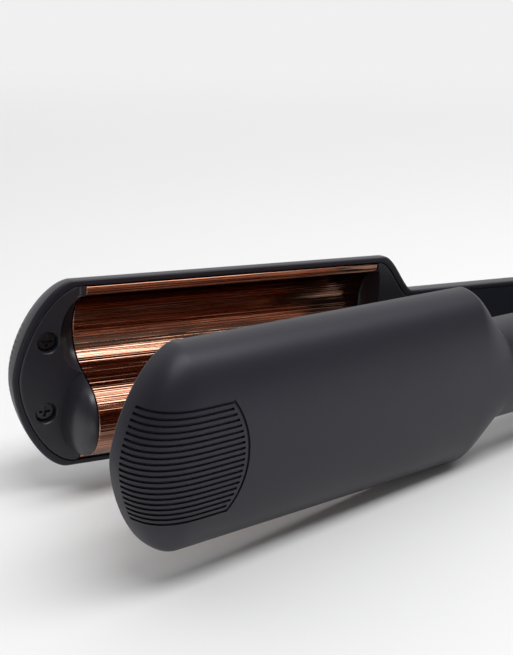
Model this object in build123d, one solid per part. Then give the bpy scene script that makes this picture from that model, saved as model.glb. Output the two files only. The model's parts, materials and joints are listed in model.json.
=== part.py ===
from build123d import *
import os
from math import acos, atan2, cos, hypot, pi, radians, sin, sqrt

# Deep-wave hair waver: two hinged arms with nesting S-shaped plates. Sizes are millimetres.
#
# Arm coordinates: u runs from the hinge axis to the tip, o runs outward from the plane where
# the arms close, and w runs upward from the middle of the arm's height. An arm is built with
# u along -X, o along +Y and w along +Z, then swung open about the hinge axis, which is Z.
# The front arm is the same shape turned over about its length, so its crest meets the rear
# arm's trough. The finished part stands on the arms' lower edges, centred over its origin.

# ---- arm envelope ----
TIP_REACH = 300.0          # hinge axis to the tip
BARREL_HEIGHT = 60.0       # across the barrel's resting edges
HANDLE_HEIGHT = 34.2
ARM_CROWN = 19.2           # closing plane to the outer face
RIM_OFFSET = 3.0           # closing plane to the shell's rim and the covers' faces
SECTION_POWER_W = 2.35     # superellipse powers of the arm's cross-section
SECTION_POWER_O = 2.49
TIP_PLAN_LENGTH = 18.2     # length over which the height rounds off to the tip
TIP_PLAN_POWER_U = 1.68
TIP_PLAN_POWER_W = 1.60
TIP_CROWN_LENGTH = 26.7    # length over which the crown falls to the tip
TIP_CROWN_POWER_U = 3.72
TIP_CROWN_POWER_O = 2.50
NECK_START = 155.0         # the shoulder between handle and barrel
NECK_END = 169.0
NECK_POWER = 0.83
LAND_TRIM = 0.1            # depth planed off the lower and upper edges as flat resting lands
SHELL_WALL = 1.8
OPEN_ANGLE = 10.2          # degrees between the arms at rest
CLOSING_ANGLE = 10.5       # degrees the front arm travels until the plates nest

# ---- grip grooves on the shell's outer face ----
GROOVE_COUNT = 20
GROOVE_SPAN = 31.4         # first to last groove
GROOVE_WIDTH = 0.8
GROOVE_DEPTH = 0.6
GROOVE_ARC_RADIUS = 27.7   # edge of the patch towards the handle
GROOVE_ARC_START = 265.6   # the arc's nearest point to the hinge
GROOVE_MARGIN = 1.6        # plain strip between the arc's groove and the others
GROOVE_FLOOR = 7.6         # grooves stop at this offset from the closing plane

# ---- wave plate ----
PLATE_START = 171.5
PLATE_END = 277.8
PLATE_HALF_HEIGHT = 27.9
PLATE_THICKNESS = 2.0
WAVE_HALF_PITCH = 13.0     # crest and trough lie this far below and above the middle
WAVE_HALF_DEPTH = 12.0
WAVE_MID = 1.1             # offset of the wave's mean plane
WAVE_RADIUS = 12.2         # hair-side radius of crest and trough
TROUGH_LIP_RADIUS = 1.5
CREST_LIP_RADIUS = 1.0
RAIL_DEPTH = 2.0           # rail behind the plate's lips
RAIL_INNER = 26.8
RAIL_OUTER = 28.9

# ---- covers ----
COVER_THICKNESS = 2.0
COVER_GAP = 0.15
PLATE_GAP = 0.25
CREST_DOME_LENGTH = 6.4    # from the plate's edge to the end of the crest's dome
TROUGH_DOME_LENGTH = 6.9
DOME_WALL = 1.6
NECK_COVER_START = 148.0

# ---- cover screws ----
SCREW_RADIUS = 1.25
SCREW_GAP = 0.03
SCREW_HEAD_RADIUS = 2.6
SCREW_HEAD_HEIGHT = 1.6
SCREW_LENGTH = 6.5
SCREW_SLOT_WIDTH = 0.9
SCREW_SLOT_LENGTH = 3.4
SCREW_SLOT_DEPTH = 0.9
WELL_RADIUS = 3.3
WELL_WALL = 1.1
WELL_SEAT = 6.4            # offset of the seat under the screw's head
WELL_FLOOR = 1.6
POST_RADIUS = 3.2
TIP_SCREW_REACH = 289.2
TIP_SCREW_SPREAD = 11.3
NECK_SCREW_REACH = 157.5
NECK_SCREW_SPREAD = 9.0
HANDLE_SCREW_REACHES = (51.0, 138.0)
HANDLE_SCREW_SIDE = 6.4

# ---- heater stack in the crest ----
HEATER_START = 182.0
HEATER_END = 268.0
HEATER_WIDTH = 17.0
HEATER_THICKNESS = 4.0
SPREADER_CLEARANCE = 0.05
CLAMP_THICKNESS = 1.5
CLAMP_OVERHANG = 2.0
INSULATOR_THICKNESS = 0.8
PRESS_POST_INSET = 18.0    # from the heater's ends to the posts that press the stack
THERMISTOR_RADIUS = 1.4
THERMISTOR_LENGTH = 4.0
FUSE_RADIUS = 1.8
FUSE_LENGTH = 11.0

# ---- wiring ----
WIRE_RADIUS = 0.8
WIRE_SPREAD = 1.2
WIRE_BEND = 6.0
WIRE_RUN = 6.0             # straight lead in front of the heater
POWER_WIRE_SIDE = 1.3

# ---- hinge ----
PIN_RADIUS = 2.45
BUSH_RADIUS = 4.0
RUNNING_CLEARANCE = 0.05
KNUCKLE_RADIUS = 8.8
KNUCKLE_HALF_HEIGHT = 8.0
KNUCKLE_CLEARANCE = 0.3
HINGE_GAP = 0.4            # between the tail's round and the arms' ends
CHEEK_FLOOR = 2.0
CAP_RADIUS = 11.5
CAP_THICKNESS = 2.0
CAP_LEDGE = 1.0
PIN_BOSS_RADIUS = 5.0
SPRING_RADIUS = 5.4
SPRING_WIRE = 0.6
SPRING_TURNS = 4
SPRING_PITCH = 1.1
SPRING_LEG_REACH = 11.5
SPRING_FLOOR = -3.0        # floor of the spring's pocket in the knuckle
TONGUE_START = 5.1
TONGUE_THICKNESS = 3.6
BRACKET_LENGTH = 46.0
HINGE_SCREW_REACH = 36.0
FRONT_SCREW_SPREAD = 4.6
REAR_SCREW_SPREAD = 7.6
REAR_TONGUE_THICKNESS = 5.9
REAR_TONGUE_HALF_HEIGHT = 11.0
ARM_END = 10.0             # the arms' outer faces stop this far from the hinge axis

# ---- tail and cord swivel ----
NOSE_START = 8.0
NOSE_START_RADIUS = 15.0
NOSE_END = 31.0
NOSE_END_RADIUS = 11.5
CHAMBER_START = 13.0
CHAMBER_RADIUS = 8.0
SWIVEL_STEM_RADIUS = 6.5
SWIVEL_START = 14.5
SWIVEL_CLEARANCE = 0.08
SWIVEL_END_GAP = 0.3
FLANGE_START = 22.3
FLANGE_LENGTH = 3.8
FLANGE_RADIUS = 8.7
COLLAR_LENGTH = 13.5
COLLAR_RADIUS = 10.4
COLLAR_END_RADIUS = 7.4
COLLAR_ROUND = 1.2
CORD_BORE_RADIUS = 3.6
RING_WIDTH = 1.5
RING_THICKNESS = 0.6
RING_STARTS = (15.6, 19.0)
BRUSH_HALF_HEIGHT = 1.0
BRUSH_WIDTH = 1.1
TAIL_SCREW_X = 8.5
TAIL_SCREW_SIDE = 12.6
TAIL_SCREW_SEAT = 6.0
TAIL_SCREW_LENGTH = 11.0

# ---- controls on the rear handle ----
BOARD_START = 56.0
BOARD_END = 104.0
BOARD_HALF_HEIGHT = 12.0
BOARD_OFFSET = 10.0
BOARD_THICKNESS = 1.6
BOARD_SCREW_INSET = 4.0
BOARD_SCREW_SIDE = 8.5
POWER_REACH = 64.0
PLUS_REACH = 80.0
MINUS_REACH = 93.0
INDICATOR_REACH = 72.5
POWER_RADIUS = 4.6
STEP_RADIUS = 3.8
BUTTON_PROUD = 1.2
BUTTON_GAP = 0.25
BUTTON_FLANGE = 1.1
BUTTON_FLANGE_THICKNESS = 1.0
BUTTON_STEM_RADIUS = 1.5
BUTTON_TRAVEL = 0.7
SWITCH_WIDTH = 6.0
SWITCH_HEIGHT = 1.9
PLUNGER_RADIUS = 1.2
PLUNGER_HEIGHT = 0.4
LAMP_SPACING = 3.6
LAMP_SIZE = 1.6
WINDOW_LENGTH = 2.6
WINDOW_HEIGHT = 12.0

SECTION_STEPS = 16
TIP_STATIONS = (0, 6, 12, 18, 24, 31, 38, 45, 52, 59, 66, 72, 78, 84)   # degrees of a quarter turn
NECK_STATIONS = 8
RIM_DROP = 2.0
FAR = 400.0
BARREL_HALF = BARREL_HEIGHT / 2 + LAND_TRIM
HANDLE_HALF = HANDLE_HEIGHT / 2
COVER_BACK = RIM_OFFSET + COVER_THICKNESS
SPRING_LEG_HEIGHT = KNUCKLE_HALF_HEIGHT - SPRING_WIRE - KNUCKLE_CLEARANCE
HEATER_SEAT = WAVE_MID - WAVE_HALF_DEPTH + WAVE_RADIUS
CLAMP_SEAT = HEATER_SEAT + HEATER_THICKNESS
INSULATOR_SEAT = CLAMP_SEAT + CLAMP_THICKNESS
PRESS_SEAT = INSULATOR_SEAT + INSULATOR_THICKNESS
BOARD_BACK = BOARD_OFFSET + BOARD_THICKNESS
SWITCH_TOP = BOARD_OFFSET - SWITCH_HEIGHT
PLUNGER_TOP = SWITCH_TOP - PLUNGER_HEIGHT


# ---- helpers in arm coordinates ----
def section_plane(u):
    """Plane across the arm: its X is w, its Y is o, and it faces the tip."""
    return Plane(origin=(-u, 0, 0), x_dir=(0, 0, 1), z_dir=(-1, 0, 0))


def plan_plane(o):
    """Plane along the arm: its X is u, its Y is w, and it faces outward."""
    return Plane(origin=(0, o, 0), x_dir=(-1, 0, 0), z_dir=(0, 1, 0))


def block(u_range, o_range, w_range):
    """Box between two values of each arm coordinate."""
    size = [high - low for low, high in (u_range, o_range, w_range)]
    middle = [(high + low) / 2 for low, high in (u_range, o_range, w_range)]
    return Pos(-middle[0], middle[1], middle[2]) * Box(*size)


def rod(u, w, start, end, radius):
    """Cylinder that stands outward along o."""
    return extrude(plan_plane(start) * Pos(u, w) * Circle(radius), end - start)


def superellipse(half_width, rise, power_width, power_rise):
    """Points (width, rise) from +half_width over the top to -half_width."""
    points = []
    for step in range(SECTION_STEPS + 1):
        turn = pi * step / SECTION_STEPS
        across = cos(turn) if step * 2 != SECTION_STEPS else 0.0
        side = 1 if across >= 0 else -1
        width = side * half_width * abs(across) ** (2 / power_width)
        points.append((width, rise * max(sin(turn), 0.0) ** (2 / power_rise)))
    points[0] = (half_width, 0.0)
    points[-1] = (-half_width, 0.0)
    return points


def share(value, start, length):
    """How far value lies along a stretch, from 0 to 1."""
    return min(max((value - start) / length, 0.0), 1.0)


def half_height(u, inset=0.0):
    """Half of the arm's height at u, with the wall inset by the given depth."""
    barrel = BARREL_HALF - inset
    handle = HANDLE_HALF - inset
    rise = share(u, NECK_START + inset, NECK_END - NECK_START)
    shoulder = (rise * rise * (3 - 2 * rise)) ** NECK_POWER
    tip = share(u, TIP_REACH - TIP_PLAN_LENGTH - inset, TIP_PLAN_LENGTH)
    rounding = (1 - tip ** TIP_PLAN_POWER_U) ** (1 / TIP_PLAN_POWER_W)
    return (handle + (barrel - handle) * shoulder) * rounding


def crown(u, inset=0.0):
    """Offset of the arm's outermost line at u."""
    tip = share(u, TIP_REACH - TIP_CROWN_LENGTH - inset, TIP_CROWN_LENGTH)
    rounding = (1 - tip ** TIP_CROWN_POWER_U) ** (1 / TIP_CROWN_POWER_O)
    return RIM_OFFSET + (ARM_CROWN - inset - RIM_OFFSET) * rounding


def section(u, inset=0.0):
    """Cross-section of the arm at u, carried a little past the rim."""
    half = half_height(u, inset)
    arch = superellipse(half, crown(u, inset) - RIM_OFFSET, SECTION_POWER_W, SECTION_POWER_O)
    points = [(w, RIM_OFFSET + rise) for w, rise in arch]
    low = RIM_OFFSET - RIM_DROP
    outline = Spline(*points) + Polyline(points[-1], (-half, low), (half, low), points[0])
    return section_plane(u) * make_face(outline)


def arm_solid(inset=0.0):
    """The whole arm from hinge axis to tip as one solid, inset by the given depth."""
    tip_start = TIP_REACH - TIP_CROWN_LENGTH - inset
    stations = [tip_start + TIP_CROWN_LENGTH * sin(radians(turn)) for turn in TIP_STATIONS]
    tip = loft([section(u, inset) for u in stations])
    neck_start = NECK_START + inset
    neck_step = (NECK_END - NECK_START) / NECK_STATIONS
    stations = [neck_start + neck_step * i for i in range(NECK_STATIONS + 1)]
    neck = loft([section(u, inset) for u in stations])
    barrel_start = NECK_END + inset
    barrel = extrude(section(barrel_start, inset), tip_start - barrel_start)
    handle = extrude(section(0, inset), neck_start)
    return handle + neck + barrel + tip


def plan_area(start, end, inset):
    """The arm's outline seen from inside, between two distances from the hinge."""
    handle = HANDLE_HALF - inset
    neck_step = (NECK_END - NECK_START) / NECK_STATIONS
    neck = [NECK_START + inset + neck_step * i for i in range(NECK_STATIONS + 1)]
    upper = [(u, half_height(u, inset)) for u in neck]
    lower = [(u, -w) for u, w in reversed(upper)]
    tip_start = TIP_REACH - TIP_PLAN_LENGTH - inset
    arch = superellipse(BARREL_HALF - inset, TIP_PLAN_LENGTH, TIP_PLAN_POWER_W, TIP_PLAN_POWER_U)
    tip = [(tip_start + rise, w) for w, rise in arch]
    outline = Polyline(lower[-1], (0, -handle), (0, handle), upper[0])
    outline += Spline(*upper) + Line(upper[-1], tip[0]) + Spline(*tip)
    outline += Line(tip[-1], lower[0]) + Spline(*lower)
    window = Pos((start + end) / 2, 0) * Rectangle(end - start, 2 * BARREL_HEIGHT)
    return make_face(outline) & window


def slab(start, end, low, high, inset):
    """Flat plate with the arm's outline, from offset low to offset high."""
    return extrude(plan_plane(low) * plan_area(start, end, inset), high - low)


def hinge_relief():
    """Space swept by the tail's round, cut from whatever ends beside it."""
    swept = Cylinder(ARM_CROWN + HINGE_GAP, 2 * BARREL_HEIGHT)
    return swept + block((-FAR, ARM_END), (-FAR, FAR), (-BARREL_HEIGHT, BARREL_HEIGHT))


def wire(points, radius=WIRE_RADIUS):
    """Insulated wire through (u, o, w) points, with rounded bends."""
    corners = [(-u, o, w) for u, o, w in points]
    path = FilletPolyline(*corners, radius=WIRE_BEND) if len(corners) > 2 else Line(*corners)
    start = Plane(origin=path @ 0, z_dir=path % 0)
    return sweep(start * Circle(radius), path)


# ---- screws ----
def screw(u, w, seat, length=SCREW_LENGTH):
    """Pan-head cross-recessed screw driven outward, with its head under the seat."""
    top = seat - SCREW_HEAD_HEIGHT
    body = rod(u, w, top, seat, SCREW_HEAD_RADIUS) + rod(u, w, seat, seat + length, SCREW_RADIUS)
    slot = (top, top + SCREW_SLOT_DEPTH)
    narrow = SCREW_SLOT_WIDTH / 2
    wide = SCREW_SLOT_LENGTH / 2
    body -= block((u - wide, u + wide), slot, (w - narrow, w + narrow))
    return body - block((u - narrow, u + narrow), slot, (w - wide, w + wide))


def screw_hole(u, w):
    """Clearance for a screw's shank."""
    return rod(u, w, 0, ARM_CROWN - SHELL_WALL, SCREW_RADIUS + SCREW_GAP)


def well_cup(u, w):
    """Cup that a cover adds behind its face to hold a sunk screw."""
    return rod(u, w, RIM_OFFSET, WELL_SEAT + WELL_FLOOR, WELL_RADIUS + WELL_WALL)


def well_cut(u, w):
    """Opening of a sunk screw in a cover."""
    return rod(u, w, 0, WELL_SEAT, WELL_RADIUS) + screw_hole(u, w)


def tip_screw_spots():
    return [(TIP_SCREW_REACH, side * TIP_SCREW_SPREAD) for side in (1, -1)]


def neck_screw_spots():
    return [(NECK_SCREW_REACH, side * NECK_SCREW_SPREAD) for side in (1, -1)]


def handle_screw_spots():
    return [(reach, HANDLE_SCREW_SIDE) for reach in HANDLE_SCREW_REACHES]


def hinge_screw_spots(spread):
    return [(HINGE_SCREW_REACH, side * spread) for side in (1, -1)]


def board_screw_spots():
    return [(BOARD_START + BOARD_SCREW_INSET, BOARD_SCREW_SIDE),
            (BOARD_END - BOARD_SCREW_INSET, -BOARD_SCREW_SIDE)]


# ---- wave profile ----
def arc(center, radius, start, end):
    """Arc about center from one angle to another, in radians."""
    turns = (start, (start + end) / 2, end)
    spots = [(center[0] + radius * cos(a), center[1] + radius * sin(a)) for a in turns]
    return ThreePointArc(*spots)


def wave_line(grow=0.0):
    """The plate's hair side across the arm, or a line grown outward from it."""
    lip = RIM_OFFSET + grow
    trough = (WAVE_HALF_PITCH, WAVE_MID + WAVE_HALF_DEPTH - WAVE_RADIUS)
    crest = (-WAVE_HALF_PITCH, WAVE_MID - WAVE_HALF_DEPTH + WAVE_RADIUS)
    run = (trough[0] - crest[0], trough[1] - crest[1])
    flank = atan2(run[1], run[0]) + acos(-2 * WAVE_RADIUS / hypot(*run))
    trough_radius = WAVE_RADIUS + grow
    crest_radius = WAVE_RADIUS - grow
    lip_radius = TROUGH_LIP_RADIUS - grow
    if lip_radius > 0:
        rise = RIM_OFFSET + TROUGH_LIP_RADIUS - trough[1]
        reach = sqrt((WAVE_RADIUS + TROUGH_LIP_RADIUS) ** 2 - rise ** 2)
        corner = (trough[0] + reach, RIM_OFFSET + TROUGH_LIP_RADIUS)
        start = atan2(rise, reach)
        lip_arc = arc(corner, lip_radius, -pi / 2, start - pi)
        line = Line((PLATE_HALF_HEIGHT, lip), lip_arc @ 0) + lip_arc
    else:
        start = atan2(lip - trough[1], sqrt(trough_radius ** 2 - (lip - trough[1]) ** 2))
        trough_start = trough[0] + trough_radius * cos(start)
        line = Line((PLATE_HALF_HEIGHT, lip), (trough_start, lip))
    trough_arc = arc(trough, trough_radius, start, flank)
    rise = RIM_OFFSET - CREST_LIP_RADIUS - crest[1]
    reach = sqrt((WAVE_RADIUS + CREST_LIP_RADIUS) ** 2 - rise ** 2)
    corner = (crest[0] - reach, RIM_OFFSET - CREST_LIP_RADIUS)
    turn = atan2(rise, -reach)
    crest_arc = arc(crest, crest_radius, flank - pi, turn - 2 * pi)
    end_arc = arc(corner, CREST_LIP_RADIUS + grow, turn - pi, pi / 2)
    line += trough_arc + Line(trough_arc @ 1, crest_arc @ 0) + crest_arc + end_arc
    return line + Line(end_arc @ 1, (-PLATE_HALF_HEIGHT, lip))


def end_dome(u, side, length, radius):
    """Half-buried ellipsoid that ends the wave's trough (side 1) or crest (side -1) at u."""
    ellipsoid = scale(Rot(0, 90, 0) * Sphere(radius), by=(length / radius, 1, 1))
    return Pos(-u, WAVE_MID + side * (WAVE_HALF_DEPTH - WAVE_RADIUS), side * WAVE_HALF_PITCH) * ellipsoid


def dome_cover(flat, plate_edge, outward, wells):
    """Cover whose face blends the plate's wave into the flat rim plane.

    plate_edge is where the cover meets the plate, and outward is 1 towards the tip or -1
    towards the hinge. Trough and crest both end in a dome just past the plate."""
    low, high = sorted((plate_edge, plate_edge + outward * ARM_CROWN))
    outer = block((low, high), (RIM_OFFSET, FAR), (-FAR, FAR))
    inner = block((low, high), (-FAR, RIM_OFFSET), (-FAR, FAR))
    cup = end_dome(plate_edge, 1, TROUGH_DOME_LENGTH + DOME_WALL, WAVE_RADIUS + DOME_WALL)
    cover = flat + (cup & outer)
    cover += end_dome(plate_edge, -1, CREST_DOME_LENGTH, WAVE_RADIUS) & inner
    for u, w in wells:
        cover += well_cup(u, w)
    cover -= end_dome(plate_edge, 1, TROUGH_DOME_LENGTH, WAVE_RADIUS)
    cover -= end_dome(plate_edge, -1, CREST_DOME_LENGTH - DOME_WALL, WAVE_RADIUS - DOME_WALL)
    for u, w in wells:
        cover -= well_cut(u, w)
    return cover


# ---- pieces of either arm, in arm coordinates ----
def grip_grooves():
    """Cutters for the grooves, already held to their depth under the outer face."""
    step = GROOVE_SPAN / (GROOVE_COUNT - 1)
    centre = GROOVE_ARC_START + GROOVE_ARC_RADIUS
    patch_height = GROOVE_SPAN + GROOVE_WIDTH
    bars = Sketch()
    for i in range(GROOVE_COUNT):
        w = -GROOVE_SPAN / 2 + step * i
        bars += Pos(centre, w) * Rectangle(4 * GROOVE_ARC_RADIUS, GROOVE_WIDTH)
    inner = Circle(GROOVE_ARC_RADIUS - GROOVE_MARGIN) + Pos(GROOVE_ARC_RADIUS, 0) * Rectangle(
        2 * GROOVE_ARC_RADIUS, patch_height)
    bars = bars & (Pos(centre, 0) * inner)
    ring = Circle(GROOVE_ARC_RADIUS) - Circle(GROOVE_ARC_RADIUS - GROOVE_WIDTH)
    left_half = Pos(-GROOVE_ARC_RADIUS, 0) * Rectangle(2 * GROOVE_ARC_RADIUS, patch_height)
    bars += Pos(centre, 0) * (ring & left_half)
    return extrude(plan_plane(GROOVE_FLOOR) * bars, ARM_CROWN)


def outer_shell():
    """Barrel and handle shell with its rails and grip grooves."""
    shell = arm_solid() - arm_solid(SHELL_WALL)
    back = RIM_OFFSET + PLATE_THICKNESS
    for side in (1, -1):
        w_range = sorted((side * RAIL_INNER, side * RAIL_OUTER))
        shell += block((PLATE_START, PLATE_END), (back, back + RAIL_DEPTH), w_range)
    shell -= block((-FAR, FAR), (-FAR, RIM_OFFSET), (-FAR, FAR))
    shell &= block((-FAR, FAR), (-FAR, FAR), (-BARREL_HEIGHT / 2, BARREL_HEIGHT / 2))
    shell -= hinge_relief()
    return shell - (grip_grooves() - arm_solid(GROOVE_DEPTH))


def with_posts(shell, posts, holes):
    """The shell with posts (u, w, start) inside it and screw holes (u, w) in them."""
    rods = [rod(u, w, start, ARM_CROWN, POST_RADIUS) for u, w, start in posts]
    shell += arm_solid(SHELL_WALL / 2) & rods
    floor = ARM_CROWN - 1.5 * SHELL_WALL
    return shell - [rod(u, w, 0, floor, SCREW_RADIUS + SCREW_GAP) for u, w in holes]


def wave_plate():
    """S-shaped heating plate with a flat lip along each long edge."""
    lip = RIM_OFFSET
    back = RIM_OFFSET + PLATE_THICKNESS
    outline = wave_line() + wave_line(PLATE_THICKNESS)
    for side in (1, -1):
        outline += Line((side * PLATE_HALF_HEIGHT, lip), (side * PLATE_HALF_HEIGHT, back))
    return extrude(section_plane(PLATE_START) * make_face(outline), PLATE_END - PLATE_START)


def tip_cover():
    start = PLATE_END + PLATE_GAP
    flat = slab(start, TIP_REACH, RIM_OFFSET, COVER_BACK, SHELL_WALL + COVER_GAP)
    return dome_cover(flat, start, 1, tip_screw_spots())


def neck_cover():
    end = PLATE_START - PLATE_GAP
    flat = slab(NECK_COVER_START, end, RIM_OFFSET, COVER_BACK, SHELL_WALL + COVER_GAP)
    return dome_cover(flat, end, -1, neck_screw_spots())


def handle_cover():
    """Flat inner cover of the handle, with sunk screws."""
    end = NECK_COVER_START - COVER_GAP
    cover = slab(0, end, RIM_OFFSET, COVER_BACK, SHELL_WALL + COVER_GAP)
    for u, w in handle_screw_spots():
        cover += well_cup(u, w)
        cover -= well_cut(u, w)
    return cover - hinge_relief()


def heat_spreader():
    """Half-round bar that carries the heater's heat into the crest."""
    crest_offset = WAVE_MID - WAVE_HALF_DEPTH + WAVE_RADIUS
    radius = WAVE_RADIUS - PLATE_THICKNESS - SPREADER_CLEARANCE
    half = Circle(radius) & (Pos(0, -radius / 2) * Rectangle(2 * radius, radius))
    sketch = Pos(-WAVE_HALF_PITCH, crest_offset) * half
    return extrude(section_plane(HEATER_START) * sketch, HEATER_END - HEATER_START)


def stack_layer(start, thickness, overhang):
    """One flat layer of the heater stack."""
    half = HEATER_WIDTH / 2 + overhang / 2
    u_range = (HEATER_START - overhang, HEATER_END + overhang)
    return block(u_range, (start, start + thickness), (-WAVE_HALF_PITCH - half, -WAVE_HALF_PITCH + half))


def press_post_spots():
    return [(HEATER_START + PRESS_POST_INSET, -WAVE_HALF_PITCH),
            (HEATER_END - PRESS_POST_INSET, -WAVE_HALF_PITCH)]


def thermistor():
    """Bead that reads the plate's temperature, lying on the insulator."""
    middle = (HEATER_START + HEATER_END) / 2
    bead = extrude(section_plane(middle) * Circle(THERMISTOR_RADIUS), THERMISTOR_LENGTH)
    return Pos(0, PRESS_SEAT + THERMISTOR_RADIUS, -WAVE_HALF_PITCH) * bead


def thermal_fuse():
    """Cylindrical fuse that lies along the insulator beside the press post."""
    start = HEATER_START + PRESS_POST_INSET + POST_RADIUS + FUSE_RADIUS
    body = extrude(section_plane(start) * Circle(FUSE_RADIUS), FUSE_LENGTH)
    return Pos(0, PRESS_SEAT + FUSE_RADIUS, -WAVE_HALF_PITCH) * body


def lead_wires(end):
    """Pair of heater leads from the stack, over the neck and along the handle."""
    heater_mid = HEATER_SEAT + HEATER_THICKNESS / 2
    heater_w = -WAVE_HALF_PITCH + 3
    neck_w = -NECK_SCREW_SPREAD + POST_RADIUS + WIRE_SPREAD + 2 * WIRE_RADIUS
    high = BOARD_OFFSET - WIRE_RADIUS
    wires = []
    for spread in (WIRE_SPREAD, -WIRE_SPREAD):
        wires.append(wire([(HEATER_START, heater_mid, heater_w + spread),
                           (HEATER_START - WIRE_RUN, heater_mid, heater_w + spread),
                           (HEATER_START - 2.5 * WIRE_RUN, high, neck_w + spread),
                           (end, high, neck_w + spread)]))
    return wires


def arm_parts():
    """Every piece that both arms have, by name."""
    wells = tip_screw_spots() + neck_screw_spots() + handle_screw_spots()
    posts = [(u, w, WELL_SEAT + WELL_FLOOR) for u, w in wells]
    posts += [(u, w, PRESS_SEAT) for u, w in press_post_spots()]
    return {
        "outer_shell": with_posts(outer_shell(), posts, wells),
        "wave_plate": wave_plate(),
        "tip_cover": tip_cover(),
        "neck_cover": neck_cover(),
        "handle_cover": handle_cover(),
        "tip_screws": [screw(u, w, WELL_SEAT) for u, w in tip_screw_spots()],
        "neck_screws": [screw(u, w, WELL_SEAT) for u, w in neck_screw_spots()],
        "handle_screws": [screw(u, w, WELL_SEAT) for u, w in handle_screw_spots()],
        "heat_spreader": heat_spreader(),
        "heater": stack_layer(HEATER_SEAT, HEATER_THICKNESS, 0.0),
        "heater_clamp": stack_layer(CLAMP_SEAT, CLAMP_THICKNESS, CLAMP_OVERHANG),
        "insulator": stack_layer(INSULATOR_SEAT, INSULATOR_THICKNESS, CLAMP_OVERHANG),
        "thermistor": thermistor(),
        "thermal_fuse": thermal_fuse(),
    }


# ---- hinge and tail, in the rear arm's coordinates ----
def hinge_cylinder(radius, low, high):
    """Cylinder about the hinge axis between two heights."""
    return Pos(0, 0, (low + high) / 2) * Cylinder(radius, high - low)


def nose_cylinder(radius, start, end):
    """Cylinder along the cord's axis between two distances past the hinge."""
    return Pos((start + end) / 2, 0, 0) * Rot(0, 90, 0) * Cylinder(radius, end - start)


def tail_round():
    """The handle's cross-section spun about the hinge axis."""
    arch = superellipse(HANDLE_HALF, ARM_CROWN - RIM_OFFSET, SECTION_POWER_W, SECTION_POWER_O)
    points = [(RIM_OFFSET + rise, w) for w, rise in arch]
    outline = Spline(*points)
    outline += Polyline(points[-1], (0, -HANDLE_HALF), (0, HANDLE_HALF), points[0])
    return revolve(Plane.XZ * make_face(outline), Axis.Z)


def hinge_pockets():
    """Spaces in the tail for the front knuckle, its tongue, the spring's leg and the pin."""
    low, high = -KNUCKLE_HALF_HEIGHT - KNUCKLE_CLEARANCE, KNUCKLE_HALF_HEIGHT + KNUCKLE_CLEARANCE
    pockets = hinge_cylinder(KNUCKLE_RADIUS + KNUCKLE_CLEARANCE, low, high)
    sweep_side = (ARM_CROWN + HINGE_GAP) * sin(radians(CLOSING_ANGLE))
    tongue_back = TONGUE_START + TONGUE_THICKNESS
    tongue_slot = (-tongue_back - sweep_side - KNUCKLE_CLEARANCE, KNUCKLE_CLEARANCE - TONGUE_START)
    pockets += block((0, ARM_CROWN + HINGE_GAP), tongue_slot, (low, high))
    leg_swing = SPRING_LEG_REACH * sin(radians(CLOSING_ANGLE)) + SPRING_WIRE + KNUCKLE_CLEARANCE
    pockets += block((-SPRING_LEG_REACH - KNUCKLE_CLEARANCE, 0),
                     (-SPRING_WIRE - 2 * KNUCKLE_CLEARANCE, leg_swing),
                     (SPRING_LEG_HEIGHT - 2 * SPRING_WIRE, SPRING_LEG_HEIGHT + 2 * SPRING_WIRE))
    pockets += hinge_cylinder(PIN_RADIUS, -HANDLE_HALF, HANDLE_HALF)
    cheek = KNUCKLE_HALF_HEIGHT + KNUCKLE_CLEARANCE + CHEEK_FLOOR
    cap_seat = HANDLE_HALF - CAP_THICKNESS
    for side in (1, -1):
        ring = hinge_cylinder(CAP_RADIUS - CAP_LEDGE, *sorted((side * cheek, side * cap_seat)))
        boss = hinge_cylinder(PIN_BOSS_RADIUS, *sorted((side * cheek, side * cap_seat)))
        pockets += ring - boss
        pockets += hinge_cylinder(CAP_RADIUS + COVER_GAP, *sorted((side * cap_seat, side * BARREL_HEIGHT)))
    return pockets


def swivel_pocket():
    """Stepped bore in the nose that holds the swivel gland."""
    flange_end = FLANGE_START + FLANGE_LENGTH
    bore = nose_cylinder(CHAMBER_RADIUS, CHAMBER_START, FLANGE_START - SWIVEL_CLEARANCE)
    bore += nose_cylinder(FLANGE_RADIUS + SWIVEL_CLEARANCE, FLANGE_START - SWIVEL_CLEARANCE,
                          flange_end + SWIVEL_CLEARANCE)
    bore += nose_cylinder(SWIVEL_STEM_RADIUS + SWIVEL_CLEARANCE, CHAMBER_START, NOSE_END)
    channel = (BOARD_BACK, BOARD_BACK + 4 * WIRE_RADIUS)
    sides = (-POWER_WIRE_SIDE - 2 * WIRE_RADIUS, POWER_WIRE_SIDE + 2 * WIRE_RADIUS)
    bore += block((-CHAMBER_START, ARM_CROWN + HINGE_GAP), channel, sides)
    bore += block((-CHAMBER_START - 4 * WIRE_RADIUS, -CHAMBER_START), (0, channel[1]), sides)
    return bore


def tail_screw():
    """Screw driven up through the lower half into the upper half, beside the nose."""
    place = Pos(TAIL_SCREW_X, -TAIL_SCREW_SIDE, -TAIL_SCREW_SEAT) * Rot(90, 0, 0)
    return place * screw(0, 0, 0, TAIL_SCREW_LENGTH)


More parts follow.
